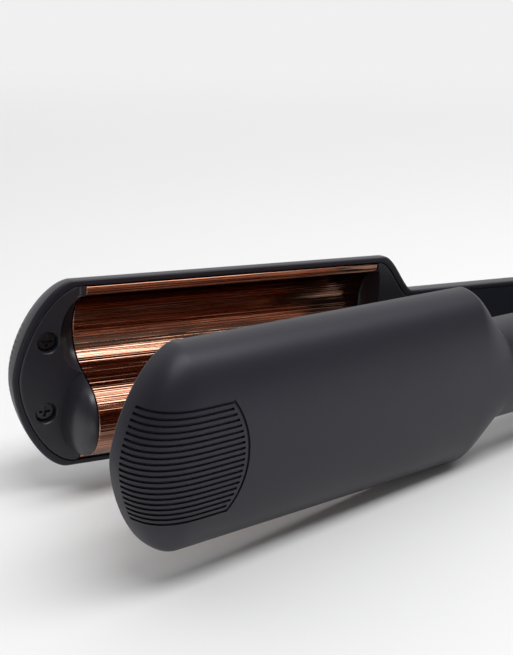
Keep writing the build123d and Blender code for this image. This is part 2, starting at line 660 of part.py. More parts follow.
def tail_halves():
    """Moulded tail: clevis for the front knuckle, nose for the cord, tongue into the rear arm."""
    tail = tail_round()
    nose = Pos((NOSE_START + NOSE_END) / 2, 0, 0) * Rot(0, 90, 0) * Cone(
        NOSE_START_RADIUS, NOSE_END_RADIUS, NOSE_END - NOSE_START)
    tongue_back = TONGUE_START + REAR_TONGUE_THICKNESS
    tail += nose
    tail += block((0, BRACKET_LENGTH), (TONGUE_START, tongue_back),
                  (-REAR_TONGUE_HALF_HEIGHT, REAR_TONGUE_HALF_HEIGHT))
    tail -= hinge_pockets() + swivel_pocket()
    for u, w in hinge_screw_spots(REAR_SCREW_SPREAD):
        tail -= rod(u, w, 0, FAR, SCREW_RADIUS + SCREW_GAP)
        tail -= rod(u, w, 0, TONGUE_START + SCREW_HEAD_HEIGHT, SCREW_HEAD_RADIUS + SCREW_GAP)
    corner = Pos(TAIL_SCREW_X, -TAIL_SCREW_SIDE, 0)
    tail -= corner * Cylinder(SCREW_RADIUS + SCREW_GAP, TAIL_SCREW_LENGTH + SCREW_HEAD_HEIGHT)
    tail -= corner * Pos(0, 0, -FAR / 2 - TAIL_SCREW_SEAT) * Cylinder(SCREW_HEAD_RADIUS + SCREW_GAP, FAR)
    upper = tail & Box(FAR, FAR, FAR, align=(Align.CENTER, Align.CENTER, Align.MIN))
    lower = tail & Box(FAR, FAR, FAR, align=(Align.CENTER, Align.CENTER, Align.MAX))
    return upper, lower


def front_bracket():
    """Cast bracket in the front arm: knuckle on the pin, and a tongue screwed into the handle."""
    half = KNUCKLE_HALF_HEIGHT
    bracket = hinge_cylinder(KNUCKLE_RADIUS, -half, half)
    tongue_back = TONGUE_START + TONGUE_THICKNESS
    bracket += block((0, BRACKET_LENGTH), (TONGUE_START, tongue_back), (-half, half))
    bracket -= hinge_cylinder(BUSH_RADIUS, -half, half)
    bracket -= hinge_cylinder(SPRING_RADIUS + 2 * SPRING_WIRE, -half, SPRING_FLOOR)
    leg_slot = SPRING_WIRE + KNUCKLE_CLEARANCE / 2
    bracket -= block((-KNUCKLE_RADIUS, -BUSH_RADIUS), (-leg_slot, leg_slot),
                     (-half, -SPRING_LEG_HEIGHT + leg_slot))
    for u, w in hinge_screw_spots(FRONT_SCREW_SPREAD):
        bracket -= rod(u, w, 0, FAR, SCREW_RADIUS + SCREW_GAP)
        bracket -= rod(u, w, 0, TONGUE_START + SCREW_HEAD_HEIGHT, SCREW_HEAD_RADIUS + SCREW_GAP)
    return bracket


def hinge_bush():
    """Bearing sleeve pressed into the front knuckle."""
    sleeve = hinge_cylinder(BUSH_RADIUS, SPRING_FLOOR, KNUCKLE_HALF_HEIGHT)
    return sleeve - hinge_cylinder(PIN_RADIUS + RUNNING_CLEARANCE, SPRING_FLOOR, KNUCKLE_HALF_HEIGHT)


def hinge_spring():
    """Close-wound torsion spring, seated in the front knuckle, with one leg in the tail."""
    spring = Part()
    for turn in range(SPRING_TURNS):
        height = -SPRING_LEG_HEIGHT + SPRING_PITCH * turn
        spring += Pos(0, 0, height) * Torus(SPRING_RADIUS, SPRING_WIRE)
    leg = Pos((SPRING_RADIUS + SPRING_LEG_REACH) / 2, 0, -SPRING_LEG_HEIGHT) * Rot(0, 90, 0) * Cylinder(
        SPRING_WIRE, SPRING_LEG_REACH - SPRING_RADIUS)
    return spring + leg


def hinge_pin():
    seat = HANDLE_HALF - CAP_THICKNESS
    return hinge_cylinder(PIN_RADIUS, -seat, seat)


def hinge_cap(side):
    """Round cap that closes the cheek over the pin's end."""
    seat = HANDLE_HALF - CAP_THICKNESS
    cap = hinge_cylinder(CAP_RADIUS, seat, HANDLE_HALF) & tail_round()
    return cap if side > 0 else Rot(180, 0, 0) * cap


def swivel_gland():
    """Turning collar that the cord passes through, held by its flange in the nose."""
    flange_end = FLANGE_START + FLANGE_LENGTH
    collar_start = NOSE_END + SWIVEL_END_GAP
    collar_end = collar_start + COLLAR_LENGTH
    outline = Polyline((SWIVEL_START, CORD_BORE_RADIUS), (SWIVEL_START, SWIVEL_STEM_RADIUS),
                       (FLANGE_START, SWIVEL_STEM_RADIUS), (FLANGE_START, FLANGE_RADIUS),
                       (flange_end, FLANGE_RADIUS), (flange_end, SWIVEL_STEM_RADIUS),
                       (collar_start, SWIVEL_STEM_RADIUS), (collar_start, COLLAR_RADIUS),
                       (collar_end, COLLAR_END_RADIUS), (collar_end, CORD_BORE_RADIUS), close=True)
    profile = make_face(outline)
    rounded = [v for v in profile.vertices() if v.Y > SWIVEL_STEM_RADIUS and v.X >= collar_start]
    profile = fillet(rounded, COLLAR_ROUND)
    return revolve(profile, Axis.X)


def slip_rings():
    """Two contact rings on the gland's inner end."""
    outer = SWIVEL_STEM_RADIUS + RING_THICKNESS
    return [nose_cylinder(outer, x, x + RING_WIDTH) - nose_cylinder(SWIVEL_STEM_RADIUS, x, x + RING_WIDTH)
            for x in RING_STARTS]


def contact_brushes():
    """Two fixed contacts that rub on the slip rings."""
    inner = SWIVEL_STEM_RADIUS + RING_THICKNESS + RUNNING_CLEARANCE
    outer = sqrt(CHAMBER_RADIUS ** 2 - BRUSH_HALF_HEIGHT ** 2) - RUNNING_CLEARANCE
    margin = (RING_WIDTH - BRUSH_WIDTH) / 2
    return [block((-x - RING_WIDTH + margin, -x - margin), (-outer, -inner),
                  (-BRUSH_HALF_HEIGHT, BRUSH_HALF_HEIGHT)) for x in RING_STARTS]


# ---- controls, in the rear arm's coordinates ----
def button(u, radius):
    """Push button: cap through the handle cover, flange behind it, stem over its switch."""
    back = COVER_BACK + RUNNING_CLEARANCE
    cap = rod(u, 0, RIM_OFFSET - BUTTON_PROUD, back, radius)
    cap = fillet(cap.edges().sort_by(Axis.Y)[0], BUTTON_PROUD / 2)
    cap += rod(u, 0, back, back + BUTTON_FLANGE_THICKNESS, radius + BUTTON_FLANGE)
    end = PLUNGER_TOP - BUTTON_TRAVEL - RUNNING_CLEARANCE
    return cap + rod(u, 0, back, end, BUTTON_STEM_RADIUS)


def button_hole(u, radius):
    return rod(u, 0, 0, COVER_BACK + COVER_THICKNESS, radius + BUTTON_GAP)


def tact_switch(u):
    """Board switch: square body with a round plunger."""
    half = SWITCH_WIDTH / 2
    body = block((u - half, u + half), (SWITCH_TOP, BOARD_OFFSET), (-half, half))
    return body + rod(u, 0, PLUNGER_TOP, SWITCH_TOP, PLUNGER_RADIUS)


def control_board():
    u_range, w_range = (BOARD_START, BOARD_END), (-BOARD_HALF_HEIGHT, BOARD_HALF_HEIGHT)
    board = block(u_range, (BOARD_OFFSET, BOARD_BACK), w_range)
    for u, w in board_screw_spots():
        board -= rod(u, w, 0, FAR, SCREW_RADIUS + SCREW_GAP)
    return board


def indicator_lamps():
    """Three small lamps on the board under the window."""
    half = LAMP_SIZE / 2
    return [block((INDICATOR_REACH - half, INDICATOR_REACH + half), (SWITCH_TOP, BOARD_OFFSET),
                  (w - half, w + half)) for w in (-LAMP_SPACING, 0, LAMP_SPACING)]


def window_block(grow, low, high):
    """Space of the indicator window, grown on its four sides."""
    length, height = WINDOW_LENGTH / 2 + grow, WINDOW_HEIGHT / 2 + grow
    return block((INDICATOR_REACH - length, INDICATOR_REACH + length), (low, high), (-height, height))


def indicator_window():
    window = window_block(0, RIM_OFFSET, COVER_BACK)
    return window + window_block(COVER_THICKNESS / 3, COVER_BACK, COVER_BACK + COVER_THICKNESS / 3)


def power_wires():
    """Two wires from the board's end, through the tail, to the swivel's chamber."""
    height = BOARD_BACK + WIRE_RADIUS + RUNNING_CLEARANCE
    start = BOARD_START + WIRE_RADIUS / 2
    return [wire([(start, height, side * POWER_WIRE_SIDE),
                  (-CHAMBER_START + WIRE_RADIUS, height, side * POWER_WIRE_SIDE)]) for side in (1, -1)]


# ---- assembly ----
def rear_pieces(shared):
    """Rear arm with the tail, the cord swivel and the controls."""
    hinge_spots = hinge_screw_spots(REAR_SCREW_SPREAD)
    posts = [(u, w, BOARD_BACK) for u, w in board_screw_spots()]
    posts += [(u, w, TONGUE_START + REAR_TONGUE_THICKNESS) for u, w in hinge_spots]
    buttons = {"power": (POWER_REACH, POWER_RADIUS), "plus": (PLUS_REACH, STEP_RADIUS),
               "minus": (MINUS_REACH, STEP_RADIUS)}
    cuts = [button_hole(u, radius) for u, radius in buttons.values()]
    pieces = {"rear_" + name: piece for name, piece in shared.items()}
    pieces["rear_outer_shell"] = with_posts(shared["outer_shell"], posts, board_screw_spots() + hinge_spots)
    pieces["rear_handle_cover"] = shared["handle_cover"] - cuts - window_block(0, 0, COVER_BACK)
    pieces["rear_lead_wires"] = lead_wires(BOARD_END - 1)
    pieces["rear_hinge_screws"] = [screw(u, w, TONGUE_START + SCREW_HEAD_HEIGHT) for u, w in hinge_spots]
    pieces["tail_upper"], pieces["tail_lower"] = tail_halves()
    pieces["tail_screw"] = tail_screw()
    pieces["hinge_pin"] = hinge_pin()
    pieces["hinge_cap_upper"] = hinge_cap(1)
    pieces["hinge_cap_lower"] = hinge_cap(-1)
    pieces["swivel_gland"] = swivel_gland()
    pieces["slip_rings"] = slip_rings()
    pieces["contact_brushes"] = contact_brushes()
    pieces["control_board"] = control_board()
    pieces["board_screws"] = [screw(u, w, BOARD_OFFSET, SCREW_LENGTH - 2) for u, w in board_screw_spots()]
    pieces["tact_switches"] = [tact_switch(u) for u, radius in buttons.values()]
    for name, (u, radius) in buttons.items():
        pieces[name + "_button"] = button(u, radius)
    pieces["indicator_window"] = indicator_window()
    pieces["indicator_lamps"] = indicator_lamps()
    pieces["power_wires"] = power_wires()
    return pieces


def front_pieces(shared):
    """Front arm with the hinge bracket, its bush and the spring."""
    hinge_spots = hinge_screw_spots(FRONT_SCREW_SPREAD)
    posts = [(u, w, TONGUE_START + TONGUE_THICKNESS) for u, w in hinge_spots]
    pieces = {"front_" + name: piece for name, piece in shared.items()}
    pieces["front_outer_shell"] = with_posts(shared["outer_shell"], posts, hinge_spots)
    pieces["front_lead_wires"] = lead_wires(BRACKET_LENGTH + 4)
    pieces["front_hinge_screws"] = [screw(u, w, TONGUE_START + SCREW_HEAD_HEIGHT) for u, w in hinge_spots]
    pieces["hinge_bracket"] = front_bracket()
    pieces["hinge_bush"] = hinge_bush()
    pieces["hinge_spring"] = hinge_spring()
    return pieces


def solids_of(piece):
    """The solids of one node as a plain list."""
    group = piece if isinstance(piece, list) else [piece]
    return [solid for item in group for solid in item.solids()]


def placed(pieces, turn):
    """All solids of one arm, turned into place about the hinge."""
    return {name: [turn * solid for solid in solids_of(piece)] for name, piece in pieces.items()}


def waver():
    """Every node of the waver at rest, standing on its lower edges over the origin."""
    rear_turn = Rot(0, 0, -OPEN_ANGLE / 2)
    front_turn = Rot(0, 0, OPEN_ANGLE / 2) * Rot(180, 0, 0)
    shared = arm_parts()
    nodes = placed(rear_pieces(shared), rear_turn) | placed(front_pieces(shared), front_turn)
    box = Compound(children=[solid for group in nodes.values() for solid in group]).bounding_box()
    stand = Pos(-box.center().X, -box.center().Y, BARREL_HEIGHT / 2)
    return {name: Compound(children=[stand * solid for solid in group]) for name, group in nodes.items()}


def main():
    os.makedirs("parts", exist_ok=True)
    for node, shape in waver().items():
        export_step(shape, f"parts/{node}.step")


if __name__ == "__main__":
    main()
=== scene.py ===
# %% [markdown]
# # A deep-wave hair waver, dressed in Blender
# The waver is two hinged arms that open in a V. Each arm is a matt charcoal shell around an
# S-shaped copper-toned plate. The solids come from the CAD frame, and this lesson works out the
# surfaces that the eye lingers on as grids of numbers, then gives each one the finish that its real
# material has.

# %% Load the frame
import json
import math

import bmesh
import bpy
import numpy as np
from mathutils import Matrix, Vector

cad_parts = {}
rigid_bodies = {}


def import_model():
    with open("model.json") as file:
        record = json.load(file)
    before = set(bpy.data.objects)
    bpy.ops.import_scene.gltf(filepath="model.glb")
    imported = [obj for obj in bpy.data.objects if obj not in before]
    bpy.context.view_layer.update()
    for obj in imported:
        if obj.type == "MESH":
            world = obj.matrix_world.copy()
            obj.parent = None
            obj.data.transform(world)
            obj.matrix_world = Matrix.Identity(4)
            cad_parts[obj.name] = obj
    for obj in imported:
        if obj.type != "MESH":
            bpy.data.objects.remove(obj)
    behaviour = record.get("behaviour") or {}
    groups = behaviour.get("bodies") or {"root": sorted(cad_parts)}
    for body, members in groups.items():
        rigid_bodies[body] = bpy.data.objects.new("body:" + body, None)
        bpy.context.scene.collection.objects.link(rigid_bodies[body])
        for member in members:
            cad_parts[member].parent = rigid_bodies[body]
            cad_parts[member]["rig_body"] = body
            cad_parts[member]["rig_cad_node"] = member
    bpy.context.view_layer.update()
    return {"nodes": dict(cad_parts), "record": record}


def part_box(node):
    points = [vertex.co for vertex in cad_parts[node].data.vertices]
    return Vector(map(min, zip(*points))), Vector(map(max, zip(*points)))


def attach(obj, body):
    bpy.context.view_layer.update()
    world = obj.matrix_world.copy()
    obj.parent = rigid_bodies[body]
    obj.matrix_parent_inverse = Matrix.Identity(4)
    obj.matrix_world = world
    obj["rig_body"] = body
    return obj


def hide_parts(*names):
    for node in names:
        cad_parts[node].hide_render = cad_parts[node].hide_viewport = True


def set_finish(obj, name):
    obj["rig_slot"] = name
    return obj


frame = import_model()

# %% [markdown]
# ## The arm's own coordinates
# Both arms are one shape, so every surface is worked out once, for the rear arm, and turned over
# about its length for the front one. u runs from the hinge axis to the tip, o outward from the
# plane where the arms close, and w up across the barrel, all in millimetres. The rear arm is swung
# half the opening angle, and the hinge axis is read from the pin in the frame. The arm's curves are
# superellipses with one power for each direction: at 2 they are ellipses, above it their corners
# are squarer, and below it flatter.

# %% Arm coordinates to the frame
METRES = 0.001
TIP_REACH = 300.0
BARREL_HALF, HANDLE_HALF = 30.1, 17.1
CROWN, RIM = 19.2, 3.0
ARCH_POWERS = (2.35, 2.49)
NECK, SHOULDER_POWER = (155.0, 169.0), 0.83
TIP_PLAN, PLAN_POWERS = 18.2, (1.68, 1.60)
TIP_CROWN, CROWN_POWERS = 26.7, (3.72, 2.50)
PLATE = (171.5, 277.8)
HALF_SWING = math.radians(10.2) / 2

pin_low, pin_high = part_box("hinge_pin")
HINGE = [(low + high) * 500.0 for low, high in zip(pin_low, pin_high)]  # middle, in millimetres


def in_place(u, o, w):
    """Places in metres of the rear arm's points: along the arm by u, outward by o and up by w,
    swung about the hinge by half the opening angle."""
    u, o, w = np.broadcast_arrays(u, o, w)
    c, s = math.cos(HALF_SWING), math.sin(HALF_SWING)
    x = HINGE[0] - u * c + o * s
    y = HINGE[1] + (u * s + o * c)
    z = HINGE[2] + w
    return np.stack([x, y, z], -1) * METRES


def half_height(u, inset=0.0):
    """Half of the arm's height: handle height, a smooth step up to the barrel at the neck, and a
    superellipse down to nothing at the tip. Insetting moves every part of it inward."""
    rise = np.clip((u - NECK[0] - inset) / (NECK[1] - NECK[0]), 0, 1)
    shoulder = (rise * rise * (3 - 2 * rise)) ** SHOULDER_POWER
    tip = np.clip((u - (TIP_REACH - TIP_PLAN - inset)) / TIP_PLAN, 0, 1)
    rounding = (1 - tip ** PLAN_POWERS[0]) ** (1 / PLAN_POWERS[1])
    handle, barrel = HANDLE_HALF - inset, BARREL_HALF - inset
    return (handle + (barrel - handle) * shoulder) * rounding


def tip_reach(across, inset=0.0):
    """How far the rounded tip reaches at a fraction of the barrel's half height: the same
    superellipse, solved for its length."""
    run = TIP_PLAN * (1 - across ** PLAN_POWERS[1]) ** (1 / PLAN_POWERS[0])
    return TIP_REACH - TIP_PLAN - inset + run


def crown(u, inset=0.0):
    """Offset of the arm's outermost line: level, then a superellipse down to the rim at the
    tip."""
    tip = np.clip((u - (TIP_REACH - TIP_CROWN - inset)) / TIP_CROWN, 0, 1)
    fall = (1 - tip ** CROWN_POWERS[0]) ** (1 / CROWN_POWERS[1])
    return RIM + (CROWN - inset - RIM) * fall


def arch(u, x, inset=0.0):
    """Offset of the arm's surface at the fraction x of its half height: a superellipse arch."""
    rise = np.clip(1 - np.abs(x) ** ARCH_POWERS[0], 0, 1) ** (1 / ARCH_POWERS[1])
    return RIM + (crown(u, inset) - RIM) * rise


print("hinge axis at", [round(v, 2) for v in HINGE], "mm")

# %% [markdown]
# ## From grids to meshes
# A grid of points becomes quads between neighbours. Each row is a closed loop, so the last column
# joins the first one again. Points that coincide, as at a pole, are merged and open ends are filled
# with triangles, so that each piece is a closed skin and all its faces can be turned outward
# together. Both arms carry the same pieces, so a mesh is made once for the rear arm and turned over
# for the front one.

# %% Grids and finishing helpers
MERGE, SLIVER = 2e-7, 1e-8
TURN_OVER = (Matrix.Translation((0, 0, HINGE[2] * METRES)) @ Matrix.Rotation(math.pi, 4, "X")
             @ Matrix.Translation((0, 0, -HINGE[2] * METRES)))


def grid_faces(rows, columns):
    """Corner numbers of the quads of a grid of closed rows, as one array."""
    i = np.arange(rows - 1)[:, None]
    j = np.arange(columns)[None, :]
    j2 = (j + 1) % columns
    quads = np.stack(np.broadcast_arrays(i * columns + j, (i + 1) * columns + j,
                                         (i + 1) * columns + j2, i * columns + j2), -1)
    return quads.reshape(-1, 4)


def set_shading(mesh, sharp):
    """Smooth faces, with edges marked sharp where faces meet at more than sharp degrees."""
    mesh.shade_smooth()
    mesh.set_sharp_from_angle(angle=math.radians(sharp))


def grid_mesh(name, points, sharp=35.0, uv=None):
    """Closed mesh from a grid (rows, columns, 3) in metres: doubles merged, open ends filled with
    triangles, normals out. uv is a grid (rows, columns, 2) that becomes the mesh's UV map."""
    rows, columns = points.shape[:2]
    mesh = bpy.data.meshes.new(name)
    mesh.from_pydata(points.reshape(-1, 3).tolist(), [], grid_faces(rows, columns).tolist())
    if uv is not None:
        corners = np.empty(len(mesh.loops), np.int32)
        mesh.loops.foreach_get("vertex_index", corners)
        mesh.uv_layers.new(name="surface_mm").data.foreach_set(
            "uv", uv.reshape(-1, 2)[corners].astype(np.float32).ravel())
    work = bmesh.new()
    work.from_mesh(mesh)
    bmesh.ops.remove_doubles(work, verts=work.verts, dist=MERGE)
    bmesh.ops.dissolve_degenerate(work, edges=work.edges, dist=SLIVER)
    ends = bmesh.ops.holes_fill(work, edges=work.edges, sides=0)["faces"]
    bmesh.ops.triangulate(work, faces=ends)
    bmesh.ops.recalc_face_normals(work, faces=work.faces)
    work.to_mesh(mesh)
    work.free()
    set_shading(mesh, sharp)
    return mesh


def place_piece(name, mesh, body, slot, *nodes):
    """Object at the origin that rides on a body, takes a slot's finish and stands for CAD nodes."""
    mesh.name = name
    piece = bpy.data.objects.new(name, mesh)
    bpy.context.scene.collection.objects.link(piece)
    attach(piece, body)
    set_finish(piece, slot)
    if nodes:
        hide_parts(*nodes)
    return piece


def place_pair(node, mesh, slot):
    """The piece that stands for a node on both arms; the front arm's copy is turned over."""
    turned = mesh.copy()
    turned.transform(TURN_OVER)
    place_piece(f"rear_{node}_skin", mesh, "rear_arm", slot, f"rear_{node}")
    place_piece(f"front_{node}_skin", turned, "front_arm", slot, f"front_{node}")
    print(f"{node}: {len(mesh.polygons)} faces on each arm")


def after_modifiers(mesh, steps):
    """The mesh after a stack of modifiers, each given as its kind and its settings."""
    carrier = bpy.data.objects.new("work", mesh)
    bpy.context.scene.collection.objects.link(carrier)
    for kind, settings in steps:
        step = carrier.modifiers.new("work", kind)
        for name, value in settings.items():
            setattr(step, name, value)
    scene_now = bpy.context.evaluated_depsgraph_get()
    shaped = bpy.data.meshes.new_from_object(
        carrier.evaluated_get(scene_now), depsgraph=scene_now, preserve_all_data_layers=True)
    bpy.data.objects.remove(carrier)
    return shaped


def cut(mesh, cutters, sharp=35.0):
    """The mesh with each closed cutter taken away by an exact Boolean."""
    objects = [bpy.data.objects.new("cutter", each) for each in cutters]
    for each in objects:
        bpy.context.scene.collection.objects.link(each)
    taking = [("BOOLEAN", {"operation": "DIFFERENCE", "solver": "EXACT", "object": each})
              for each in objects]
    shaped = after_modifiers(mesh, taking)
    for each in objects:
        bpy.data.objects.remove(each)
    set_shading(shaped, sharp)
    return shaped


# %% [markdown]
# ## The camera
# The viewer looks from just above the table, past the tips of the arms, through a moderate tele
# lens. The camera stands still while everything else is made, so it comes first.

# %% Camera
SENSOR_MM, FRAME_HEIGHT_PX = 36.0, 655


def aim_camera(place_mm, yaw, pitch, roll, focal_px):
    """Camera at place_mm from the hinge, yawed from +Y towards +X, pitched down, then rolled.
    The lens's focal length is given in pixels of a frame FRAME_HEIGHT_PX high."""
    y, p, r = (math.radians(v) for v in (yaw, pitch, roll))
    forward = np.array([math.sin(y) * math.cos(p), math.cos(y) * math.cos(p), -math.sin(p)])
    right = np.array([math.cos(y), -math.sin(y), 0.0])
    up = np.cross(right, forward)
    right, up = math.cos(r) * right + math.sin(r) * up, math.cos(r) * up - math.sin(r) * right
    data = bpy.data.cameras.new("camera")
    data.sensor_width = SENSOR_MM
    data.lens = focal_px / FRAME_HEIGHT_PX * SENSOR_MM
    data.clip_start, data.clip_end = 0.01, 60.0
    camera = bpy.data.objects.new("camera", data)
    turn = np.eye(4)
    turn[:3, 0], turn[:3, 1], turn[:3, 2] = right, up, -forward
    turn[:3, 3] = (np.array(place_mm) + HINGE) * METRES
    camera.matrix_world = Matrix(turn.tolist())
    bpy.context.scene.collection.objects.link(camera)
    bpy.context.scene.camera = camera
    return camera


camera = aim_camera(place_mm=(-438.157, -279.846, 133.117), yaw=36.257, pitch=18.275, roll=4.759,
                    focal_px=1207.481)
print("lens", round(camera.data.lens, 2), "mm")

# %% [markdown]
# ## The outer shell
# One moulding makes barrel, neck and handle. Its cross-section is a superellipse arch that ends at
# a flat rim, and its outline falls to a rounded tip. Each station along the arm carries one closed
# loop of points: over the outer face, round the rim's small edge radius, and back along the inside.
# A grid of such loops follows the crown's formula exactly, where a subdivided cage would only come
# close. At the hinge the shell's end is hollowed, so that it clears the round barrel of the tail.

# %% Shell skin
SHELL_WALL = 1.8
RIM_EDGE = 0.8
INNER_CHAMFER = (0.15, 0.25)
SIDE_LAND = 30.0
HANDLE_FOOT, HANDLE_END, HINGE_CLEAR = 30.0, 10.0, 19.6
PATCH_FROM = 263.0
CROWN_FROM = TIP_REACH - TIP_CROWN


def shell_stations():
    """Distances from the hinge: sparse on handle and barrel, dense at the neck and the tip, where
    the last station is where the crown has fallen to the rim's edge radius."""
    end = (1 - (RIM_EDGE / (CROWN - RIM)) ** CROWN_POWERS[1]) ** (1 / CROWN_POWERS[0])
    handle = np.linspace(HANDLE_FOOT, NECK[0], 24)
    neck = np.linspace(NECK[0], NECK[1], 41)[1:]
    barrel = np.linspace(NECK[1], PATCH_FROM, 16)[1:]
    patch = np.linspace(PATCH_FROM, CROWN_FROM, 18)[1:]
    tip = CROWN_FROM + TIP_CROWN * np.sin(np.linspace(0, math.asin(end), 90)[1:])
    return np.concatenate([handle, neck, barrel, patch, tip])


def inset_station(u, inset):
    """The same station on a loop that lies inset inside the outline."""
    knots = np.array([HANDLE_FOOT, NECK[0], NECK[1], CROWN_FROM, TIP_REACH])
    return np.interp(u, knots, knots + inset * np.array([0, 1, 1, -1, -1]))


def rim_band(u, sign):
    """Loop points from the outer face's edge round a quarter circle, across the flat rim and over
    a small chamfer into the shell, on the side of w given by sign."""
    turn = np.radians([18, 36, 54, 72, 90])
    insets = np.append(RIM_EDGE * (1 - np.cos(turn)), [SHELL_WALL - INNER_CHAMFER[0], SHELL_WALL])
    offsets = np.append(RIM + RIM_EDGE * (1 - np.sin(turn)), [RIM, RIM + INNER_CHAMFER[1]])
    along = np.stack([inset_station(u, inset) for inset in insets], 1)
    height = np.stack([half_height(along[:, k], inset) for k, inset in enumerate(insets)], 1)
    band = [along, np.broadcast_to(offsets, along.shape), sign * height]
    return band if sign < 0 else [part[:, ::-1] for part in band]


def shell_points():
    """Grid of stations by loop points. The outer face is the superellipse arch at fractions of the
    half height, from one rim edge to the other; the inside is the same arch, inset by the wall.
    The first rows run back to the circle that clears the hinge."""
    stations = shell_stations()
    u = stations[:, None]
    turn = np.linspace(0, math.pi, 121)[None, :]
    across = np.sign(np.cos(turn)) * np.abs(np.cos(turn)) ** (2 / ARCH_POWERS[0])
    low = np.clip(RIM_EDGE / (crown(u) - RIM), 0, 1)
    edge = (1 - low ** ARCH_POWERS[1]) ** (1 / ARCH_POWERS[0])
    outer_x = across * edge
    outer_u = np.broadcast_to(u, outer_x.shape)
    outer = [outer_u, arch(outer_u, outer_x), half_height(outer_u) * outer_x]

    inner_x = -np.cos(np.linspace(0, math.pi, 33))[None, :]
    inner_u = np.repeat(inset_station(u, SHELL_WALL), inner_x.shape[1], 1)
    inner_o = np.maximum(arch(inner_u, inner_x, SHELL_WALL), RIM + INNER_CHAMFER[1])
    inner = [inner_u, inner_o, half_height(inner_u, SHELL_WALL) * inner_x]
    parts = [outer, rim_band(stations, -1), inner, rim_band(stations, 1)]
    along, offset, height = (np.concatenate([part[k] for part in parts], 1) for k in range(3))
    height = np.clip(height, -SIDE_LAND, SIDE_LAND)

    start = np.maximum(np.sqrt(np.clip(HINGE_CLEAR ** 2 - offset[:1] ** 2, 0, None)), HANDLE_END)
    share = np.linspace(0, 1, 8)[:-1, None]
    along = np.concatenate([start + (HANDLE_FOOT - start) * share, along])
    offset, height = (np.concatenate([np.repeat(each[:1], len(share), 0), each])
                      for each in (offset, height))
    return in_place(along, offset, height)


shell_mesh = grid_mesh("outer_shell", shell_points(), sharp=40)
print("shell skin:", len(shell_mesh.vertices), "points")

# %% [markdown]
# ## The grip patch
# Twenty fine grooves run out to the tip, so that a fingertip finds the cool end. The first and
# last join one curved groove, and the others stop just short of it. Each groove is a slot of one
# depth under a curved face, so its cutter is a tube of four corner lines: two float above the face
# and two lie below it, on the arm's own surface inset by the groove's depth.

# %% Grip grooves
GROOVE = {"count": 20, "span": 31.4, "width": 0.8, "depth": 0.6, "arc_radius": 27.7,
          "arc_start": 265.6, "margin": 1.6, "floor": 7.6, "clear": 1.0, "rounding": 0.012}


def surface_line(w, start, inset, steps):
    """Points (u, o) on the arm's surface at height w, spaced by the shares in steps of its arc
    length, from start to where the surface has fallen to the patch's floor."""
    end = tip_reach(abs(w) / (BARREL_HALF - inset), inset)
    u = start + (end - start) * np.sin(np.linspace(0, math.pi / 2, 500))
    o = arch(u, w / np.maximum(half_height(u, inset), abs(w) + 1e-6), inset)
    run = np.concatenate([[0], np.cumsum(np.hypot(np.diff(u), np.diff(o)))])
    stop = np.interp(-GROOVE["floor"], -o, run)
    return np.interp(steps * stop, run, u), np.interp(steps * stop, run, o)


def slot_faces(rows):
    """Faces of a closed four-cornered tube with the given number of rows."""
    ends = [[0, 1, 2, 3], [4 * rows - 4, 4 * rows - 3, 4 * rows - 2, 4 * rows - 1]]
    return np.concatenate([grid_faces(rows, 4), ends])


def straight_slots():
    """Rows of corner points for each straight groove: its half width grows over the first share of
    its length as a quarter circle does, and its lines follow the surface above and below."""
    centre = GROOVE["arc_start"] + GROOVE["arc_radius"]
    half, rounding = GROOVE["width"] / 2, GROOVE["rounding"]
    steps = np.concatenate([rounding * (1 - np.cos(np.linspace(0.35, math.pi / 2, 6))),
                            np.linspace(rounding, 1.0, 60)[1:]])
    width = half * np.sqrt(1 - (1 - np.clip(steps / rounding, 0, 1)) ** 2)
    slots = []
    for k, w in enumerate(np.linspace(-GROOVE["span"] / 2, GROOVE["span"] / 2, GROOVE["count"])):
        joined = k in (0, GROOVE["count"] - 1)
        radius = GROOVE["arc_radius"] - (half if joined else GROOVE["margin"])
        start = centre - math.sqrt(radius ** 2 - w ** 2)
        over = surface_line(w, start, -GROOVE["clear"], steps)
        under = surface_line(w, start, GROOVE["depth"], steps)
        slots.append(np.stack([in_place(*over, w - width), in_place(*over, w + width),
                               in_place(*under, w + width), in_place(*under, w - width)], 1))
    return slots


def curved_slot():
    """Rows of corner points for the arc groove: two circles in plan, above and below the
    surface."""
    centre = GROOVE["arc_start"] + GROOVE["arc_radius"]
    half = GROOVE["width"] / 2
    middle = GROOVE["arc_radius"] - half
    limit = math.asin((GROOVE["span"] / 2 + half) / middle)
    turn = np.linspace(-limit, limit, 90)
    corners = []
    for radius, inset in ((middle - half, -GROOVE["clear"]), (middle + half, -GROOVE["clear"]),
                          (middle + half, GROOVE["depth"]), (middle - half, GROOVE["depth"])):
        u, w = centre - radius * np.cos(turn), radius * np.sin(turn)
        corners.append(in_place(u, arch(u, w / half_height(u, inset), inset), w))
    return np.stack(corners, 1)


def slot_mesh(slots):
    """One mesh of separate closed tubes."""
    counts = np.cumsum([0] + [len(slot) * 4 for slot in slots])
    faces = [slot_faces(len(slot)) + base for slot, base in zip(slots, counts)]
    mesh = bpy.data.meshes.new("groove_cutter")
    mesh.from_pydata(np.concatenate([slot.reshape(-1, 3) for slot in slots]).tolist(), [],
                     np.concatenate(faces).tolist())
    work = bmesh.new()
    work.from_mesh(mesh)
    bmesh.ops.recalc_face_normals(work, faces=work.faces)
    work.to_mesh(mesh)
    work.free()
    return mesh


shell_mesh = cut(shell_mesh, [slot_mesh(straight_slots()), slot_mesh([curved_slot()])], sharp=40)
place_pair("outer_shell", shell_mesh, "shell")

# %% [markdown]
# ## The wave plate
# The plate is pressed from aluminium sheet: a trough and a crest, each a circular arc, joined by a
# straight flank, with a flat lip along each long edge. The press rolls every edge back, which
# catches a thin line of light. The profile is worked out as arcs, and the grid carries it along the
# arm, with a small radius at each end where it dips under the covers.

